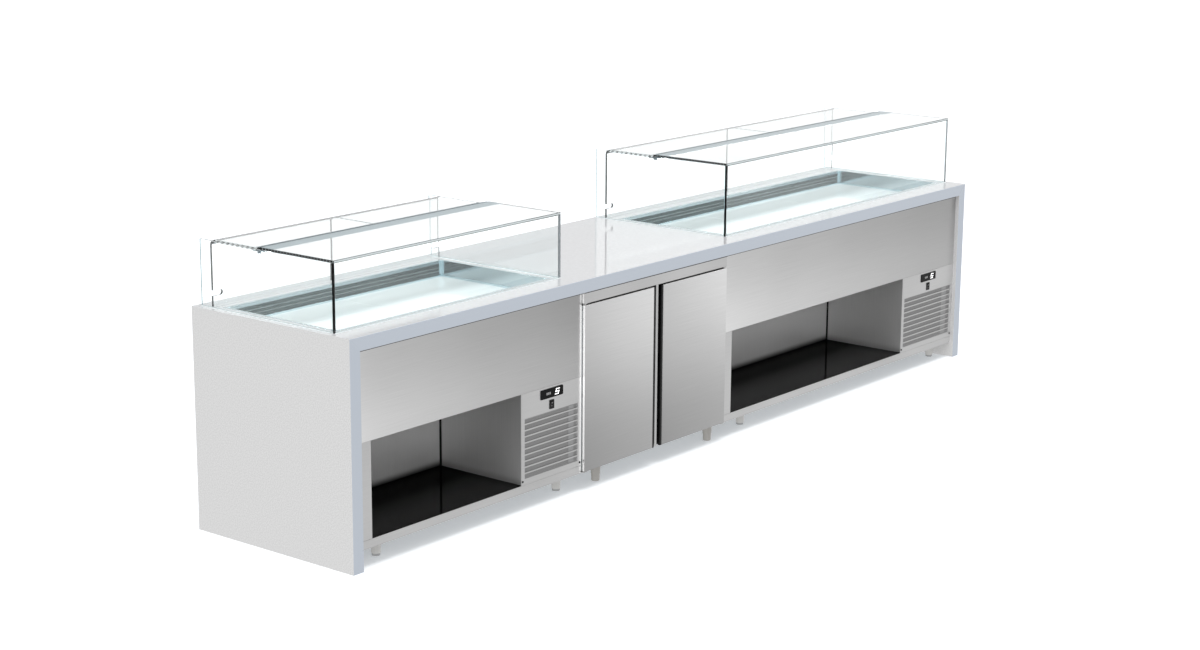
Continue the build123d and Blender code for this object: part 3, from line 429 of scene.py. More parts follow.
# painted reflection and painted shade: the lining's back wall darkens at its foot, where it would mirror the
# black floor, its right wall stays even
liningPaintedSheenAndShade = {
    "left": {0.0: sheenGreys["black"], 0.1: sheenGreys["light"], 1.0: sheenGreys["dark"]},
    "right": {0.0: sheenGreys["light"], 1.0: sheenGreys["mid"]},
    # painted shade: the lining is darker towards the niche's front
    "frontShadeShare": 0.77,
}
liningWall = 4 * mm
brushedStainless = makeStainless("brushed stainless sheet")
fasciaSteel = {
    unit: makeStainless(
        f"brushed stainless fascia, {unit}", {"box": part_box(f"{unit}_fascia"), **fasciaPaintedSheen}
    ) for unit in unitSides
}
doorSteel = {
    door: makeStainless(
        f"brushed stainless skin, {door}", {"box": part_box(door), **doorPaintedSheen}
    ) for door in doorNames
}
liningSteel = {}
for unit in unitSides:
    low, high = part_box(f"{unit}_niche_lining")
    low.x = high.x - liningWall
    liningSteel[unit] = makeStainless(
        f"dull rolled stainless lining, {unit}", {"box": (low, high), **liningPaintedSheenAndShade},
        rough=(0.3, 0.38), along=2, metallic=0.3,
    )
castStainless = makeStainless(
    "satin cast stainless", dark="#b4b2ae", light="#c0beba", rough=(0.5, 0.6), along=2, metallic=0.5,
    waveDepth=0.5 * mm, lineLength=30 * mm,
)
wellStainless = makeStainless(
    "bright annealed stainless", dark="#a9b6ba", light="#b9c6ca", rough=(0.08, 0.14), waveDepth=2 * mm,
)
anodised = makeStainless(
    "satin anodised aluminium", dark="#5f6d73", light="#6d7b82", rough=(0.4, 0.5), lineWidth=1.2 * mm,
    lineLength=900 * mm, waveDepth=0.5 * mm, tint="#8a979d",
)
rimAluminium = makeStainless(
    "bright anodised trim", dark="#c3d6dc", light="#d3e4ea", rough=(0.2, 0.3), waveDepth=0.5 * mm,
)
coilAluminium = makeStainless(
    "rolled fin aluminium", dark="#b9bbbd", light="#cfd1d2", rough=(0.42, 0.55), along=2, lineLength=40 * mm,
)
# painted reflection: the duct sheet is coloured dark grey, for the dark the well's back wall mirrors, as well
# as a real duct
ductSheetPaintedDark = makeStainless(
    "grey duct sheet", dark="#515c5d", light="#616d6d", rough=(0.22, 0.32), waveDepth=1 * mm,
)
# painted highlight: the ribs are coloured paler than the duct sheet they are rolled from
ribsPaintedPale = makeStainless(
    "rolled duct ribs", dark="#8b9697", light="#9aa5a6", rough=(0.22, 0.32), waveDepth=0.5 * mm,
)
filterSteel = makeStainless(
    "galvanised filter frame", dark="#a4a4a5", light="#b2b2b3", rough=(0.4, 0.5), along=2,
)
# painted shade and painted light: the panes' edges are tinted by the way they face, dark one way and pale
# another
paneGlass = {
    pane: makeGlass(f"toughened float glass, {pane} pane", lines) for pane, lines in {
        "front": (("X", "X", 0.5, "#2a3032"), ("Z", "Z", 0.5, "#b9c4c6")),
        "end": (("Y", "Y", 0.5, "#a8d8e2"), ("Z", "Z", 0.5, "#e4eef0")),
        "top": (("X", "X", 0.5, "#14181a"), ("Y", "Y", 0.5, "#c4d0d2")),
    }.items()
}
# painted shade: the bends and the flaps' side edges are tinted near black
bentGlass = makeGlass("bent toughened glass", (("Y", "Z", 0.36, "#05070a"), ("X", "X", 0.5, "#20272a")))
flapEdge = {}
paneEdge = {}
for unit in unitSides:
    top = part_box(f"{unit}_case_left_flap")[1]
    # painted shade and painted reflection on the flaps' edge strips and the top panes' end edges
    flapEdge[unit] = makeGroundEdge(f"ground edge of bent glass, {unit}", {
        "dark": "#1c2022", "deep": "#060708", "bright": "#f4f8f8", "dash": 27 * mm, "darkShare": 0.5,
        "bendStart": top.y - 24 * mm, "arris": top.z - 2.5 * mm,
    })
    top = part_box(f"{unit}_top_glass")[1]
    paneEdge[unit] = makeGroundEdge(f"ground edge of float glass, {unit}", {
        "dark": "#16191a", "deep": "#040505", "bright": "#8c9496", "dash": 16 * mm, "darkShare": 0.75,
        "bendStart": top.y, "arris": top.z,
    })
groundEdge = makeGrained(
    "ground glass edge", "#dfe8ea", "#eef5f6", (0.35, 0.5), grain=4 * mm, depth=0.02 * mm,
)
polishedEdge = makeGrained("polished pane edge", "#8fa3a9", "#a6babf", (0.2, 0.3), grain=40 * mm, depth=0.0)
greyFrit = makeGrained("grey ceramic frit", "#8f9ea4", "#9aa9af", (0.6, 0.75), grain=3 * mm, depth=0.02 * mm)
whiteEnamel = makeGrained(
    "white vitreous enamel", "#f3fbfb", "#fbffff", (0.04, 0.07), grain=160 * mm, depth=0.0, ior=1.55,
)
floorLow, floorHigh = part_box("niche_floors")
floorShadeShare = 0.7  # the share of the floor's depth over which its gloss fades, painted shade towards the back
blackAcrylic = makeGrained(
    "gloss black acrylic sheet", "#050505", "#080808", (0.05, 0.08), grain=60 * mm, depth=0.01 * mm, ior=1.49,
    gloss=0.042,
    paintedBackShade={"gloss": 0.002, "start": floorLow.y, "end": floorLow.y + (floorHigh.y - floorLow.y) * floorShadeShare},
)
blackPlastic = makeGrained(
    "moulded black ABS", "#0b0b0c", "#131415", (0.34, 0.48), grain=1.2 * mm, depth=0.03 * mm,
    ior=1.52, gloss=0.25,
)
fanPlastic = makeGrained(
    "moulded black polypropylene", "#17181a", "#222326", (0.4, 0.55), grain=1.5 * mm, depth=0.03 * mm,
    ior=1.49,
)
opalDiffuser = makeGrained(
    "extruded opal polycarbonate", "#eef1f0", "#fafcfb", (0.38, 0.5), grain=6 * mm, depth=0.01 * mm, ior=1.58,
    glow=11.0,
)
displayLens = makeGrained(
    "smoked gloss acrylic", "#030303", "#050505", (0.1, 0.16), grain=30 * mm, depth=0.004 * mm,
    ior=1.49, gloss=0.12,
)
sealRubber = makeGrained(
    "extruded grey EPDM", "#3a3c3e", "#4b4d4f", (0.55, 0.7), grain=1.5 * mm, depth=0.05 * mm,
)
foamCore = makeGrained(
    "blown polyurethane foam", "#d8c98f", "#efe3b4", (0.85, 0.98), grain=2 * mm, depth=0.4 * mm, ior=1.45,
)
blackEnamel = makeGrained(
    "stoved black enamel", "#0d0d0e", "#151516", (0.22, 0.32), grain=8 * mm, depth=0.02 * mm,
)
blackScrew = makeGrained(
    "black oxide steel", "#080809", "#111112", (0.35, 0.5), grain=0.8 * mm, depth=0.02 * mm, gloss=0.2,
)
clearSilicone = makeGrained(
    "tooled translucent silicone", "#dfe6e8", "#eef3f4", (0.25, 0.38), grain=9 * mm, depth=0.05 * mm,
    ior=1.42,
)
tooledBead = {"rough": (0.4, 0.55), "grain": 7 * mm, "depth": 0.06 * mm, "ior": 1.42, "gloss": 0.15}
blackSilicone = makeGrained("tooled black silicone", "#050505", "#0b0b0b", **tooledBead)
greySiliconePaintedLight = makeGrained("tooled grey silicone", "#868c90", "#949a9e", **tooledBead)
markInk = makeGrained(
    "pad-printed white ink", "#c8c8c8", "#e2e2e2", (0.4, 0.5), grain=1 * mm, depth=0.01 * mm,
)
footPlastic = makeFootPlastic()
filterMesh = makeFilterMesh()
litWhite = makeLit("lit white segments", "#ffffff", 1.0)
litGrey = makeLit("dim grey segments", "#8f8f8f", 0.35)
print("materials made:", len(bpy.data.materials))


# Finishes of the CAD pieces

finishes = {
    glossLaminate: ["worktop"],
    endBoard: ["end_panel_left", "end_panel_right"],
    backBoard: ["customer_cladding"],
    brushedStainless: [
        "base_trays", "left_carcass", "right_carcass", "left_service_cover", "right_service_cover",
        "cupboard_face_frame", "cupboard_body", "cupboard_shelf", "door_hinges",
    ],
    castStainless: ["cupboard_feet"],
    wellStainless: ["left_tank", "right_tank"],
    whiteEnamel: ["display_decks"],
    bentGlass: flapNames,
    anodised: ["left_light_bar", "right_light_bar"] + [f"{flap}_hinge" for flap in flapNames],
    opalDiffuser: ["led_strips"],
    blackAcrylic: ["niche_floors"],
    blackPlastic: [
        "switch_bezels", "left_switch_rocker", "right_switch_rocker", "door_left_grip", "door_right_grip",
    ],
    displayLens: ["thermostats"],
    footPlastic: ["unit_feet"],
    sealRubber: ["door_left_gasket", "door_right_gasket"],
    foamCore: ["insulation", "door_left_core", "door_right_core"],
    coilAluminium: ["evaporators", "condensers"],
    blackEnamel: ["compressors", "fan_motors"],
    fanPlastic: ["left_condenser_fan", "right_condenser_fan"],
    blackScrew: ["cover_screws"],
}
for unit in unitSides:
    finishes[fasciaSteel[unit]] = [f"{unit}_fascia"]
    finishes[liningSteel[unit]] = [f"{unit}_niche_lining"]
for pane, glass in paneGlass.items():
    finishes[glass] = [f"{unit}_{pane}_glass" for unit in unitSides]
for door in doorNames:
    finishes[doorSteel[door]] = [door]
for material, names in finishes.items():
    for name in names:
        nodes[name].data.materials.clear()
        nodes[name].data.materials.append(material)
bare = set(nodes) - {name for names in finishes.values() for name in names}
print("CAD pieces finished; without a finish:", sorted(bare))


# Fine rounding on folded sheet edges, which catches a thin line of light

foldRounding = {
    0.6 * mm: ["base_trays", "cupboard_face_frame", "display_decks", "left_carcass", "right_carcass"],
    1.2 * mm: ["door_left", "door_right", "left_fascia", "right_fascia"],
}
for width, names in foldRounding.items():
    for name in names:
        weld = nodes[name].modifiers.new("joined corners", "WELD")
        weld.merge_threshold = 0.01 * mm
        roundEdges(nodes[name], width)
print("sheet edges rounded")


# Thermostat figures: one lit digit and a row of small signal lamps

thermostatFace = {
    "rise": 0.25 * mm, "digitHeight": 21 * mm, "digitWidth": 19 * mm, "digitFromRight": 52 * mm, "slant": 0.4,
    "bar": 4 * mm, "lap": 0.05 * mm,
    "lamps": 3, "lampSize": (7 * mm, 10 * mm), "lampPitch": 9.5 * mm, "lampsFromLeft": 34 * mm,
    # the bars of a five on a seven-bar display, as ((x, z), (x, z)) shares of its width and height
    "five": (
        ((0, 1), (1, 1)), ((0, 0.5), (0, 1)), ((0, 0.5), (1, 0.5)), ((1, 0), (1, 0.5)), ((0, 0), (1, 0)),
    ),
}
for unit, side in unitSides.items():
    settings = thermostatFace
    low, high = sideBox("thermostats", side)
    middle = (low.z + high.z) / 2
    front = low.y - settings["rise"]
    digit = bmesh.new()
    left, bottom = high.x - settings["digitFromRight"], middle - settings["digitHeight"] / 2
    for (x0, z0), (x1, z1) in settings["five"]:
        # upright bars are a hair thinner, so that no two corners coincide
        half = settings["bar"] / 2 - (settings["lap"] if x0 == x1 else 0)
        corners = addBox(
            digit,
            (left + x0 * settings["digitWidth"] - half, front, bottom + z0 * settings["digitHeight"] - half),
            (left + x1 * settings["digitWidth"] + half, low.y, bottom + z1 * settings["digitHeight"] + half),
        )
        for corner in corners:
            corner.co.x += (corner.co.z - bottom) * settings["slant"]
    addPiece(f"{unit}_thermostat_digit", digit, litWhite)
    lamps = bmesh.new()
    width, height = settings["lampSize"]
    for i in range(settings["lamps"]):
        x = low.x + settings["lampsFromLeft"] + i * settings["lampPitch"]
        addBox(lamps, (x, front, middle - height / 2), (x + width, low.y, middle + height / 2))
    addPiece(f"{unit}_thermostat_lamps", lamps, litGrey, bevel=0.08 * mm)
print("thermostat figures made")


# Seal beads in the back corners of the niches

nicheBead = {"radius": 6.5 * mm, "sheet": 1.5 * mm}
for unit in unitSides:
    low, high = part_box(f"{unit}_niche_lining")
    back = high.y - nicheBead["sheet"]
    bead = bmesh.new()
    for x, inward in ((low.x + nicheBead["sheet"], 1), (high.x - nicheBead["sheet"], -1)):
        section = hollowFillet((x, back), (inward, 0), (0, -1), nicheBead["radius"])
        addBar(bead, 2, section, (floorHigh.z, high.z))
    addPiece(f"{unit}_niche_seal", bead, blackSilicone)
print("niche seals made")


# Pale joint beads between the cupboard and the units beside it, clear of the doors' swing; their pale colour
# fills the gap's shade and stands in for a highlight there: painted light

moduleJointHighlight = {"width": 2.4 * mm, "depth": 8 * mm, "hollow": 0.4 * mm, "endGap": 3 * mm}
doorLow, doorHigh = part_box("door_left")
joints = bmesh.new()
for unit, side in unitSides.items():
    low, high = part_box(f"{unit}_carcass")
    edge = low.x if side > 0 else high.x
    wide, deep = moduleJointHighlight["width"], moduleJointHighlight["depth"]
    outline = [(0, 0), (wide / 2, moduleJointHighlight["hollow"]), (wide, 0), (wide, deep), (0, deep)]
    section = [(edge - side * u, low.y + v) for u, v in outline]
    addBar(joints, 2, section, (doorLow.z + moduleJointHighlight["endGap"], doorHigh.z - moduleJointHighlight["endGap"]))
addPiece("module_joint_highlight_beads", joints, clearSilicone)
print("module joints made")


# Lip seals under the worktop's front overhang, dark strips that stand in for the shadow under it: painted
# shade drawing a thin dark line along the fascias and the rail

worktopShadowSeal = {
    "heights": {"left_fascia": 8.5 * mm, "cupboard_face_frame": 5 * mm, "right_fascia": 8.5 * mm},
    "thickness": 2 * mm, "gap": 0.1 * mm, "lipShare": 0.7,
}
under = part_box("left_fascia")[1].z
seals = bmesh.new()
for name, height in worktopShadowSeal["heights"].items():
    low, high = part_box(name)
    back, out = low.y - worktopShadowSeal["gap"], low.y - worktopShadowSeal["thickness"]
    lip = under - height * worktopShadowSeal["lipShare"]
    addBar(seals, 0, [(back, under), (out, under), (out, lip), (back, under - height)], (low.x, high.x))
addPiece("worktop_shadow_line_seals", seals, sealRubber)
print("worktop seals made")


# Trim of the display wells: a rail round the deck, upright corner strips and the ribbed duct on the back wall

wellTrim = {
    "rim": 15 * mm, "railHeight": 9 * mm, "railDepth": 4 * mm, "railFall": 0.8, "postWidth": 16 * mm,
    "postDepth": 2 * mm, "ductGap": 14 * mm, "ductDepth": 2.5 * mm, "clearance": 0.5 * mm,
    "ribs": (0.3, 0.62), "ribHeight": 4 * mm, "ribDepth": 1.5 * mm, "ribSlope": 0.25,
}
for unit in unitSides:
    settings = wellTrim
    tankLow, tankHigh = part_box(f"{unit}_tank")
    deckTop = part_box("display_decks")[1].z
    rim = Vector((settings["rim"], settings["rim"], 0))
    low, high = tankLow + rim, tankHigh - rim
    height, depth = settings["railHeight"], settings["railDepth"]
    rail = bmesh.new()
    addMitredFrame(rail, low, high, deckTop, 2, [
        (0, 0), (depth, 0), (depth, height * settings["railFall"]), (0, height),
    ])
    addPiece(f"{unit}_well_rail", rail, rimAluminium, bevel=0.5 * mm)
    posts = bmesh.new()
    width, thick = settings["postWidth"], settings["postDepth"]
    outline = [(0, 0), (width, 0), (width, thick), (thick, thick), (thick, width), (0, width)]
    for x, inX in ((low.x, 1), (high.x, -1)):
        for y, inY in ((low.y, 1), (high.y, -1)):
            section = [(x + inX * u, y + inY * v) for u, v in outline]
            addBar(posts, 2, section, (deckTop + height, tankHigh.z))
    addPiece(f"{unit}_well_corner_strips", posts, rimAluminium, bevel=0.4 * mm)
    duct = bmesh.new()
    gap = settings["clearance"]
    back, face = high.y, high.y - settings["ductDepth"]
    bottom, top = deckTop + height + gap, tankHigh.z - settings["ductGap"]
    ends = (low.x + width + gap, high.x - width - gap)
    addBar(duct, 0, [(back, bottom), (face, bottom), (face, top), (back, top)], ends)
    addPiece(f"{unit}_well_duct", duct, ductSheetPaintedDark, bevel=0.3 * mm)
    ribs = bmesh.new()
    out, tall, slope = face - settings["ribDepth"], settings["ribHeight"], settings["ribSlope"]
    for share in settings["ribs"]:
        z = bottom + (top - bottom) * share
        section = [(face, z), (out, z + tall * slope), (out, z + tall * (1 - slope)), (face, z + tall)]
        addBar(ribs, 0, section, ends)
    addPiece(f"{unit}_well_duct_ribs", ribs, ribsPaintedPale, bevel=0.2 * mm)
print("well trim made")


# Condensers: fins on tubes between two end plates, seen through the louvres

condenserCore = {
    # real fins stand about 2.5 mm apart, drawn wider so that they show
    "finPitch": 5 * mm, "finThickness": 0.9 * mm, "plate": 1.5 * mm, "plateLip": 14 * mm,
    "tubeRows": 10, "tubeRadius": 5 * mm, "tubeLayers": 2,
}
for unit, side in unitSides.items():
    settings = condenserCore
    low, high = sideBox("condensers", side)
    fins = bmesh.new()
    count = int((high.x - low.x) / settings["finPitch"])
    half = settings["finThickness"] / 2
    for i in range(1, count):
        x = low.x + (high.x - low.x) * i / count
        addBox(fins, (x - half, low.y, low.z), (x + half, high.y, high.z))
    addPiece(f"{unit}_condenser_fins", fins, coilAluminium)
    tubes = bmesh.new()
    for layer in range(settings["tubeLayers"]):
        y = low.y + (high.y - low.y) * (layer + 0.5) / settings["tubeLayers"]
        for row in range(settings["tubeRows"]):
            z = low.z + (high.z - low.z) * (row + 0.5) / settings["tubeRows"]
            addRod(tubes, (low.x, y, z), (high.x, y, z), settings["tubeRadius"])
    plate, lip = settings["plate"], settings["plateLip"]
    outline = [
        (0, high.y), (0, low.y - plate), (lip, low.y - plate), (lip, low.y), (plate, low.y), (plate, high.y),
    ]
    for x, inward in ((low.x, 1), (high.x, -1)):
        addBar(tubes, 2, [(x + inward * u, y) for u, y in outline], (low.z, high.z))
    core = addPiece(f"{unit}_condenser_tubes", tubes, coilAluminium)
    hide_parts("condensers")
print("condensers made")


# Filter screens right behind the louvres

filterScreen = {
    "edge": 20 * mm, "overlap": 5 * mm, "behind": 1 * mm, "frame": 9 * mm, "thickness": 3 * mm,
    "strip": (0.82, 0.92), "stripDepth": (0.4 * mm, 1.2 * mm), "pad": 0.5 * mm, "padSteps": (24, 16),
}
for unit in unitSides:
    settings = filterScreen
    coverLow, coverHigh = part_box(f"{unit}_service_cover")
    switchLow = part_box(f"{unit}_switch_rocker")[0].z
    margin, edge = settings["overlap"], settings["frame"]
    louvres = [
        v.co for v in nodes[f"{unit}_service_cover"].data.vertices
        if coverLow.x + settings["edge"] < v.co.x < coverHigh.x - settings["edge"]
        and coverLow.z + settings["edge"] < v.co.z < switchLow - margin * 2
    ]
    low = Vector((min(p.x for p in louvres) - margin, 0, min(p.z for p in louvres) - margin))
    high = Vector((max(p.x for p in louvres) + margin, 0, max(p.z for p in louvres) + margin))
    front = coverHigh.y + settings["behind"]
    back = front + settings["thickness"]
    border = bmesh.new()
    addMitredFrame(border, low, high, front, 1, [
        (0, 0), (edge, 0), (edge, settings["thickness"]), (0, settings["thickness"]),
    ])
    strip = [
        (low.x + (high.x - low.x) * share, front + deep, z) for share, deep, z in zip(
            settings["strip"], settings["stripDepth"], (low.z + edge, high.z - edge)
        )
    ]
    addBox(border, *strip)
    addPiece(f"{unit}_filter_frame", border, filterSteel, bevel=0.3 * mm)
    screen = bmesh.new()
    stepsX, stepsZ = settings["padSteps"]
    bmesh.ops.create_grid(screen, x_segments=stepsX, y_segments=stepsZ, size=0.5, matrix=Matrix.Translation((
        (low.x + high.x) / 2, (front + back) / 2, (low.z + high.z) / 2,
    )) @ Matrix.Rotation(math.pi / 2, 4, "X") @ Matrix.Diagonal((
        high.x - low.x - edge, high.z - low.z - edge, 1.0, 1.0,
    )))
    knit = addPiece(f"{unit}_filter_mesh", screen, filterMesh)
    pad = knit.modifiers.new("pad thickness", "SOLIDIFY")
    pad.thickness = settings["pad"]
    pad.offset = 0.0
print("filter screens made")


# Door gaskets: a folded bellows with a flat magnet bead

gasketProfile = {
    "width": 12 * mm, "depth": 8 * mm,
    # (share of the width, share of the depth), round the section
    "outline": (
        (0, 0), (1, 0), (1, 0.18), (0.8, 0.3), (0.92, 0.48), (0.8, 0.64), (0.96, 0.76), (0.96, 1),
        (0.04, 1), (0.04, 0.76), (0.2, 0.64), (0.08, 0.48), (0.2, 0.3), (0, 0.18),
    ),
}
for door in doorNames:
    low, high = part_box(f"{door}_gasket")
    ring = bmesh.new()
    outline = [(u * gasketProfile["width"], v * gasketProfile["depth"]) for u, v in gasketProfile["outline"]]
    addMitredFrame(ring, low, high, low.y, 1, outline)
    gasket = addPiece(f"{door}_bellows_gasket", ring, sealRubber, door, bevel=0.3 * mm)
    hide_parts(f"{door}_gasket")
print("door gaskets made")


# Pressed inner sheets of the doors, which close the foam and carry the gaskets

doorLiner = {
    # (distance inward from the foam's edge, height) of the sheet's edge and its dished field, in mm
    "steps": ((0.3, 0.0), (0.3, 0.4), (20, 0.4), (22, 1.2), (27, 4.4), (30, 5)),
    "rounding": 0.1 * mm,
}
for door in doorNames:
    low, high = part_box(f"{door}_core")
    liner = bmesh.new()
    stations = []
    for inward, height in doorLiner["steps"]:
        left, right = low.x + inward * mm, high.x - inward * mm
        bottom, top = low.z + inward * mm, high.z - inward * mm
        y = high.y + height * mm
        stations.append([(left, y, bottom), (right, y, bottom), (right, y, top), (left, y, top)])
    addSweep(liner, stations)
    addPiece(f"{door}_inner_liner", liner, brushedStainless, door, bevel=doorLiner["rounding"])
print("door liners made")


# Trim of the glass cases: silicone beads and glue joints, pane edges and the band over the light bar

glassTrim = {
    "beadRadius": 3 * mm, "edgeInset": 2 * mm, "edgeRise": 0.15 * mm, "jointDepth": 0.25 * mm,
    "jointInset": 0.9 * mm, "jointRounding": 0.05 * mm, "edgeRounding": 0.04 * mm, "bandWidth": 66 * mm,
}
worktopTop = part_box("worktop")[1].z
for unit in unitSides:
    frontLow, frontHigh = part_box(f"{unit}_front_glass")
    endLow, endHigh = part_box(f"{unit}_end_glass")
    topLow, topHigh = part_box(f"{unit}_top_glass")
    radius, rounding = glassTrim["beadRadius"], glassTrim["jointRounding"]
    thick = frontHigh.y - frontLow.y
    left, right = frontLow.x, frontHigh.x
    beads = bmesh.new()
    for y, outward, inset in ((frontLow.y, -1, 0), (frontHigh.y, 1, thick)):
        section = hollowFillet((y, worktopTop), (outward, 0), (0, 1), radius)
        addBar(beads, 0, section, (left + inset, right - inset))
    for x, outward in ((left, -1), (left + thick, 1), (right - thick, -1), (right, 1)):
        section = hollowFillet((x, worktopTop), (outward, 0), (0, 1), radius)
        addBar(beads, 1, section, (endLow.y, endHigh.y))
    addPiece(f"{unit}_glass_beads", beads, clearSilicone)
    # upright glue joints between the front pane and the end panes, black on the left and grey on the right:
    # one glue in two colours, painted shade on the left and painted light on the right
    inset, deep = glassTrim["jointInset"], glassTrim["jointDepth"]
    for side, x, glue in (("left", left, blackSilicone), ("right", right - thick, greySiliconePaintedLight)):
        joint = bmesh.new()
        addBox(
            joint, (x + inset, frontHigh.y - deep, frontLow.z + inset),
            (x + thick - inset, endLow.y + deep, frontHigh.z - inset),
        )
        # the left joint is wiped over the front pane's end too
        if side == "left":
            addBox(
                joint, (x - deep, frontLow.y + inset, frontLow.z + inset),
                (x + deep, frontHigh.y - inset, frontHigh.z - inset),
            )
        addPiece(f"{unit}_{side}_corner_joint", joint, glue, bevel=rounding)
    # the top pane's end edge: a strip with painted shade and painted reflection
    rim = bmesh.new()
    addBox(
        rim, (topLow.x - deep, topLow.y + inset, topLow.z + inset),
        (topLow.x + deep, topHigh.y - inset, topHigh.z - inset),
    )
    addPiece(f"{unit}_top_glass_end_edge", rim, paneEdge[unit], bevel=rounding)
    # a grey band fired onto the top pane's underside and rear edge hides the glue on the light bar
    band = bmesh.new()
    start, below, behind = topHigh.y - glassTrim["bandWidth"], topLow.z - deep / 2, topHigh.y + deep / 2
    addBar(band, 0, [
        (start, below), (behind, below), (behind, topHigh.z - inset), (topHigh.y - deep, topHigh.z - inset),
        (topHigh.y - deep, topLow.z + deep), (start, topLow.z + deep),
    ], (topLow.x + inset, topHigh.x - inset))
    addPiece(f"{unit}_top_glass_band", band, greyFrit)
    rears = bmesh.new()
    for x in (left, right - thick):
        addBox(
            rears, (x + inset, endHigh.y - deep, endLow.z + inset),
            (x + thick - inset, endHigh.y + deep, endHigh.z - inset),
        )
    addPiece(f"{unit}_end_glass_rear_edges", rears, polishedEdge, bevel=rounding)
    inset, rise = glassTrim["edgeInset"], glassTrim["edgeRise"]
    edge = bmesh.new()
    addBox(
        edge, (topLow.x + inset, topLow.y - rise, topLow.z + inset),
        (topHigh.x - inset, topLow.y - rise / 3, topHigh.z - inset),
    )
    addPiece(
        f"{unit}_top_glass_ground_edge", edge, groundEdge, bevel=glassTrim["edgeRounding"]
    )
print("glass trim made")


# Polished side edges of the glass flaps, broken where the finger notch is: strips coloured with painted shade
# and painted reflection

flapEdges = {
    # the strips sit a little inside the glass, so that the edge also shows from within the pane
    "inset": 0.5 * mm, "off": -0.2 * mm, "thickness": 0.3 * mm, "glass": 10 * mm, "bend": 24 * mm,
    "bendSteps": 8, "notchRise": 55 * mm, "notchHeight": 24 * mm,
}
for flap in flapNames:
    settings = flapEdges
    low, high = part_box(flap)
    depths = (settings["inset"], settings["glass"] - settings["inset"])
    turn = settings["bend"]
    bends = [math.pi / 2 * i / settings["bendSteps"] for i in range(settings["bendSteps"] + 1)]
    # (y, z) pairs on the section at two depths under the outer face: along the top and round the bend
    path = [[(low.y + settings["inset"], high.z - depth) for depth in depths]]
    path += [[
        (high.y - turn + (turn - depth) * math.sin(a), high.z - turn + (turn - depth) * math.cos(a))
        for depth in depths
    ] for a in bends]
    notch, stop = worktopTop + settings["notchRise"], settings["notchHeight"] / 2
    # the same pairs down the back, to the notch's upper end, from its lower end and to the foot
    above, below, foot = [
        [(high.y - depth, z) for depth in depths]
        for z in (notch + stop, notch - stop, low.z + settings["inset"])
    ]
    edges = bmesh.new()
    for x, outward in ((low.x, -1), (high.x, 1)):
        near = x + outward * settings["off"]
        far = near + outward * settings["thickness"]
        hasNotch = ("_left_flap" in flap) == (outward < 0)
        for run in ([path + [above], [below, foot]] if hasNotch else [path + [foot]]):
            addSweep(edges, [
                [(near, *outer), (near, *inner), (far, *inner), (far, *outer)] for outer, inner in run
            ])
    addPiece(f"{flap}_edges", edges, flapEdge[flap.split("_")[0]], flap)
print("flap edges made")


# Marks on the rocker switches

rockerMarks = {
    "barWidth": 1.1 * mm, "barHeight": 5 * mm, "ringRadius": 2.6 * mm, "ringWidth": 0.9 * mm,
    "rise": 0.12 * mm, "sides": 24, "facing": -0.8,
}
for unit in unitSides:
    settings = rockerMarks
    rocker = nodes[f"{unit}_switch_rocker"]
    middle = sum(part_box(rocker.name), Vector()) / 2
    facing = [p for p in rocker.data.polygons if p.normal.y < settings["facing"]]
    rise = settings["rise"]
    marks = bmesh.new()
    for above in (True, False):
        half = [p for p in facing if (p.center.z > middle.z) == above]
        area = sum(p.area for p in half)
        centre = sum((p.center * p.area for p in half), Vector()) / area
        normal = sum((p.normal * p.area for p in half), Vector()).normalized()
        upward = normal.cross(Vector((1, 0, 0)))
        place = Matrix.Translation(centre) @ Matrix((Vector((1, 0, 0)), upward, normal)).transposed().to_4x4()
        if above:
            outer, inner = settings["ringRadius"], settings["ringRadius"] - settings["ringWidth"]
            section = ((outer, -rise), (outer, rise), (inner, rise), (inner, -rise))
            stations = []
            for i in range(settings["sides"]):
                angle = 2 * math.pi * i / settings["sides"]
                across = Vector((math.cos(angle), math.sin(angle), 0))
                stations.append([
                    place @ (across * radius + Vector((0, 0, lift))) for radius, lift in section
                ])
            addSweep(marks, stations, closed=True)
        else:
            width, height = settings["barWidth"] / 2, settings["barHeight"] / 2
            for corner in addBox(marks, (-width, -height, -rise), (width, height, rise)):
                corner.co = place @ corner.co
    addPiece(f"{unit}_rocker_marks", marks, markInk, f"{unit}_switch_rocker")
print("rocker marks made")


# Cover screws: domed heads with a cross recess

coverScrew = {
    "headRadius": 4.5 * mm, "headHeight": 2.5 * mm, "shankRadius": 2 * mm, "shankGap": 0.05 * mm, "sides": 24,
    "slotWidth": 1.1 * mm, "slotReach": 2.6 * mm, "slotDepth": 1.6 * mm,
    # the dome from its rim to its crown, as (share of the radius, share of the height)
    "dome": ((1.0, 0.0), (1.0, 0.3), (0.94, 0.6), (0.8, 0.82), (0.55, 0.95), (0.28, 1.0)),
}
settings = coverScrew
radius, reach, half = settings["headRadius"], settings["slotReach"], settings["slotWidth"] / 2
angles = [2 * math.pi * i / settings["sides"] for i in range(settings["sides"])]
heads = bmesh.new()
slots = bmesh.new()
for unit, side in unitSides.items():
    low, high = sideBox("cover_screws", side)
    z = (low.z + high.z) / 2
    seat = low.y + settings["headHeight"]
    deep = low.y + settings["slotDepth"]
    for x in (low.x + radius, high.x - radius):
        addSweep(heads, [
            [
                (x + share * radius * math.cos(a), seat - rise * settings["headHeight"],
                 z + share * radius * math.sin(a))
                for a in angles
            ] for share, rise in settings["dome"]
        ])
        addRod(heads, (x, seat + settings["shankGap"], z), (x, high.y, z), settings["shankRadius"])
        for wide, tall in ((reach, half), (half, reach)):
            addBox(slots, (x - wide, low.y - reach, z - tall), (x + wide, deep, z + tall))
screwHeads = addPiece("cover_screw_heads", heads, blackScrew)
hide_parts("cover_screws")
slotMesh = bpy.data.meshes.new("cross slots")
slots.to_mesh(slotMesh)
slots.free()
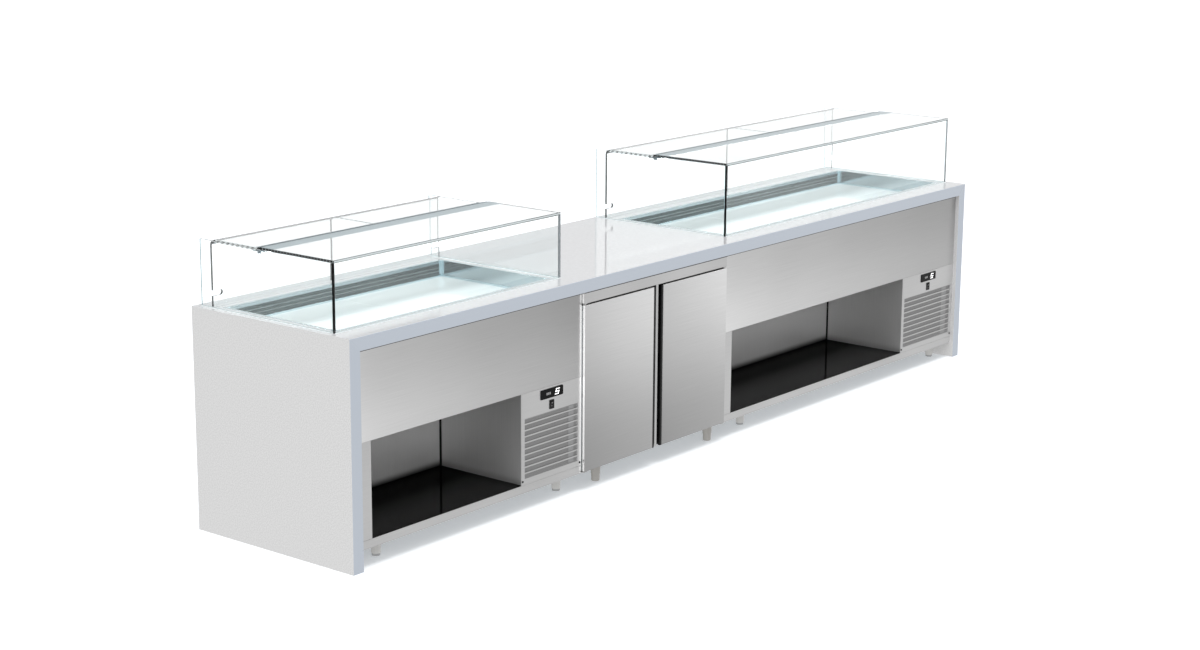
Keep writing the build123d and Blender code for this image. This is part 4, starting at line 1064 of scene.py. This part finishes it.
slotCutter = bpy.data.objects.new("cross slots", slotMesh)
bpy.context.scene.collection.objects.link(slotCutter)
cut = screwHeads.modifiers.new("cross recess", "BOOLEAN")
cut.object = slotCutter
cut.solver = "EXACT"
cut.use_self = True
carved = bpy.data.meshes.new_from_object(screwHeads.evaluated_get(bpy.context.evaluated_depsgraph_get()))
screwHeads.modifiers.clear()
screwHeads.data = carved
bpy.data.objects.remove(slotCutter)
print("cover screws made")


# Studio: a bright floor, soft light from above and a pale surround

studio = {
    "floorSize": 80.0, "floorWhite": "#f4f5f6",
    # the floor glows a little, as a lit floor panel does, so that the shadow under the counter stays pale
    "floorGlow": "#b4bbc0", "floorGlowStrength": 0.5,
    # what the surround sends in along each axis, from its low and its high side: (sRGB tint, strength)
    "surround": {
        "X": (("#ffffff", 0.95), ("#ffffff", 0.95)),
        "Y": (("#ffffff", 0.66), ("#ffffff", 0.52)),
        "Z": (("#ffffff", 0.6), ("#ffffff", 0.95)),
    },
    "sideBlend": 0.25,
    # a soft card low beside the camera, seen only in inner corners, where two sheets mirror each other
    "edgeCard": {"from": (-0.73, -0.65, -0.2), "narrowness": 12.0, "strength": 4.5, "bounces": 1.5},
    "background": 1.1,
    "sunStrength": 1.3, "sunAngle": 28.0, "sunTilt": (11.0, 0.0, -20.0),
}
bpy.ops.mesh.primitive_grid_add(x_subdivisions=2, y_subdivisions=2, size=studio["floorSize"])
floor = bpy.context.object
floor.name = "studio_floor"
floor.data.materials.append(newMaterial(
    "matt white floor panel", Base_Color=studio["floorWhite"], Roughness=0.9, Specular_IOR_Level=0.1,
    Emission_Color=studio["floorGlow"], Emission_Strength=studio["floorGlowStrength"],
)[0])
# the surround lights the counter from below too, so the floor itself sends nothing back
floor.visible_diffuse = False
floor.visible_glossy = False

world = bpy.data.worlds.new("studio surround")
bpy.context.scene.world = world
world.use_nodes = True
tree = world.node_tree
direction = addNode(tree, "TexCoord")["Generated"]
parts = addNode(tree, "SeparateXYZ", {"Vector": direction})
path = addNode(tree, "LightPath")
card = studio["edgeCard"]
towards = addNode(tree, "VectorMath", {
    0: direction, 1: Vector(card["from"]).normalized(),
}, operation="DOT_PRODUCT")
ahead = addNode(tree, "Math", {0: towards["Value"], 1: 0.0}, operation="MAXIMUM")
lobe = addNode(tree, "Math", {0: ahead["Value"], 1: card["narrowness"]}, operation="POWER")
twice = addNode(tree, "Math", {0: path["Glossy Depth"], 1: card["bounces"]}, operation="GREATER_THAN")
inGloss = addNode(tree, "Math", {0: lobe["Value"], 1: twice["Value"]}, operation="MULTIPLY")
total = addNode(tree, "VectorMath", {0: [card["strength"]] * 3, 3: inGloss["Value"]}, operation="SCALE")
for axis, (lowSide, highSide) in studio["surround"].items():
    which = addNode(tree, "MapRange", {
        "Value": parts[axis], "From Min": -studio["sideBlend"], "From Max": studio["sideBlend"],
    }, interpolation_type="SMOOTHSTEP")
    tint = addNode(tree, "Mix", {
        "Factor": which["Result"], 6: linear(*lowSide), 7: linear(*highSide),
    }, data_type="RGBA")
    share = addNode(tree, "Math", {0: parts[axis], 1: parts[axis]}, operation="MULTIPLY")
    scaled = addNode(tree, "VectorMath", {0: tint[2], 3: share["Value"]}, operation="SCALE")
    total = addNode(tree, "VectorMath", {0: total["Vector"], 1: scaled["Vector"]}, operation="ADD")
# the surround itself shows plain white, also through the panes
seen = addNode(tree, "Math", {0: path["Is Camera Ray"], 1: path["Is Transmission Ray"]}, operation="MAXIMUM")
colour = addNode(tree, "Mix", {
    "Factor": seen["Value"], 6: total["Vector"], 7: [studio["background"]] * 3 + [1.0],
}, data_type="RGBA")
feed(tree.nodes["Background"], {"Color": colour[2], "Strength": 1.0})

sunLamp = bpy.data.lights.new("soft key", "SUN")
sunLamp.energy = studio["sunStrength"]
sunLamp.angle = math.radians(studio["sunAngle"])
sun = bpy.data.objects.new("soft key", sunLamp)
sun.rotation_euler = [math.radians(a) for a in studio["sunTilt"]]
bpy.context.scene.collection.objects.link(sun)

# Camera at the photograph's place
cameraView = {
    "place": (-7.8326, -6.0613, 2.8173), "yaw": -51.426, "pitch": -13.220, "roll": 0.403,
    "focalPixels": 2255.7, "imageWidth": 1200, "sensor": 36.0,
}
lens = bpy.data.cameras.new("camera")
lens.sensor_fit = "HORIZONTAL"
lens.sensor_width = cameraView["sensor"]
lens.lens = cameraView["sensor"] * cameraView["focalPixels"] / cameraView["imageWidth"]
camera = bpy.data.objects.new("camera", lens)
turnZ = Matrix.Rotation(math.radians(cameraView["yaw"]), 4, "Z")
turnX = Matrix.Rotation(math.radians(90 + cameraView["pitch"]), 4, "X")
turnRoll = Matrix.Rotation(math.radians(cameraView["roll"]), 4, "Z")
camera.matrix_world = Matrix.Translation(cameraView["place"]) @ turnZ @ turnX @ turnRoll
bpy.context.scene.collection.objects.link(camera)
bpy.context.scene.camera = camera
bpy.context.scene.view_settings.view_transform = "Standard"
print("studio and camera set")
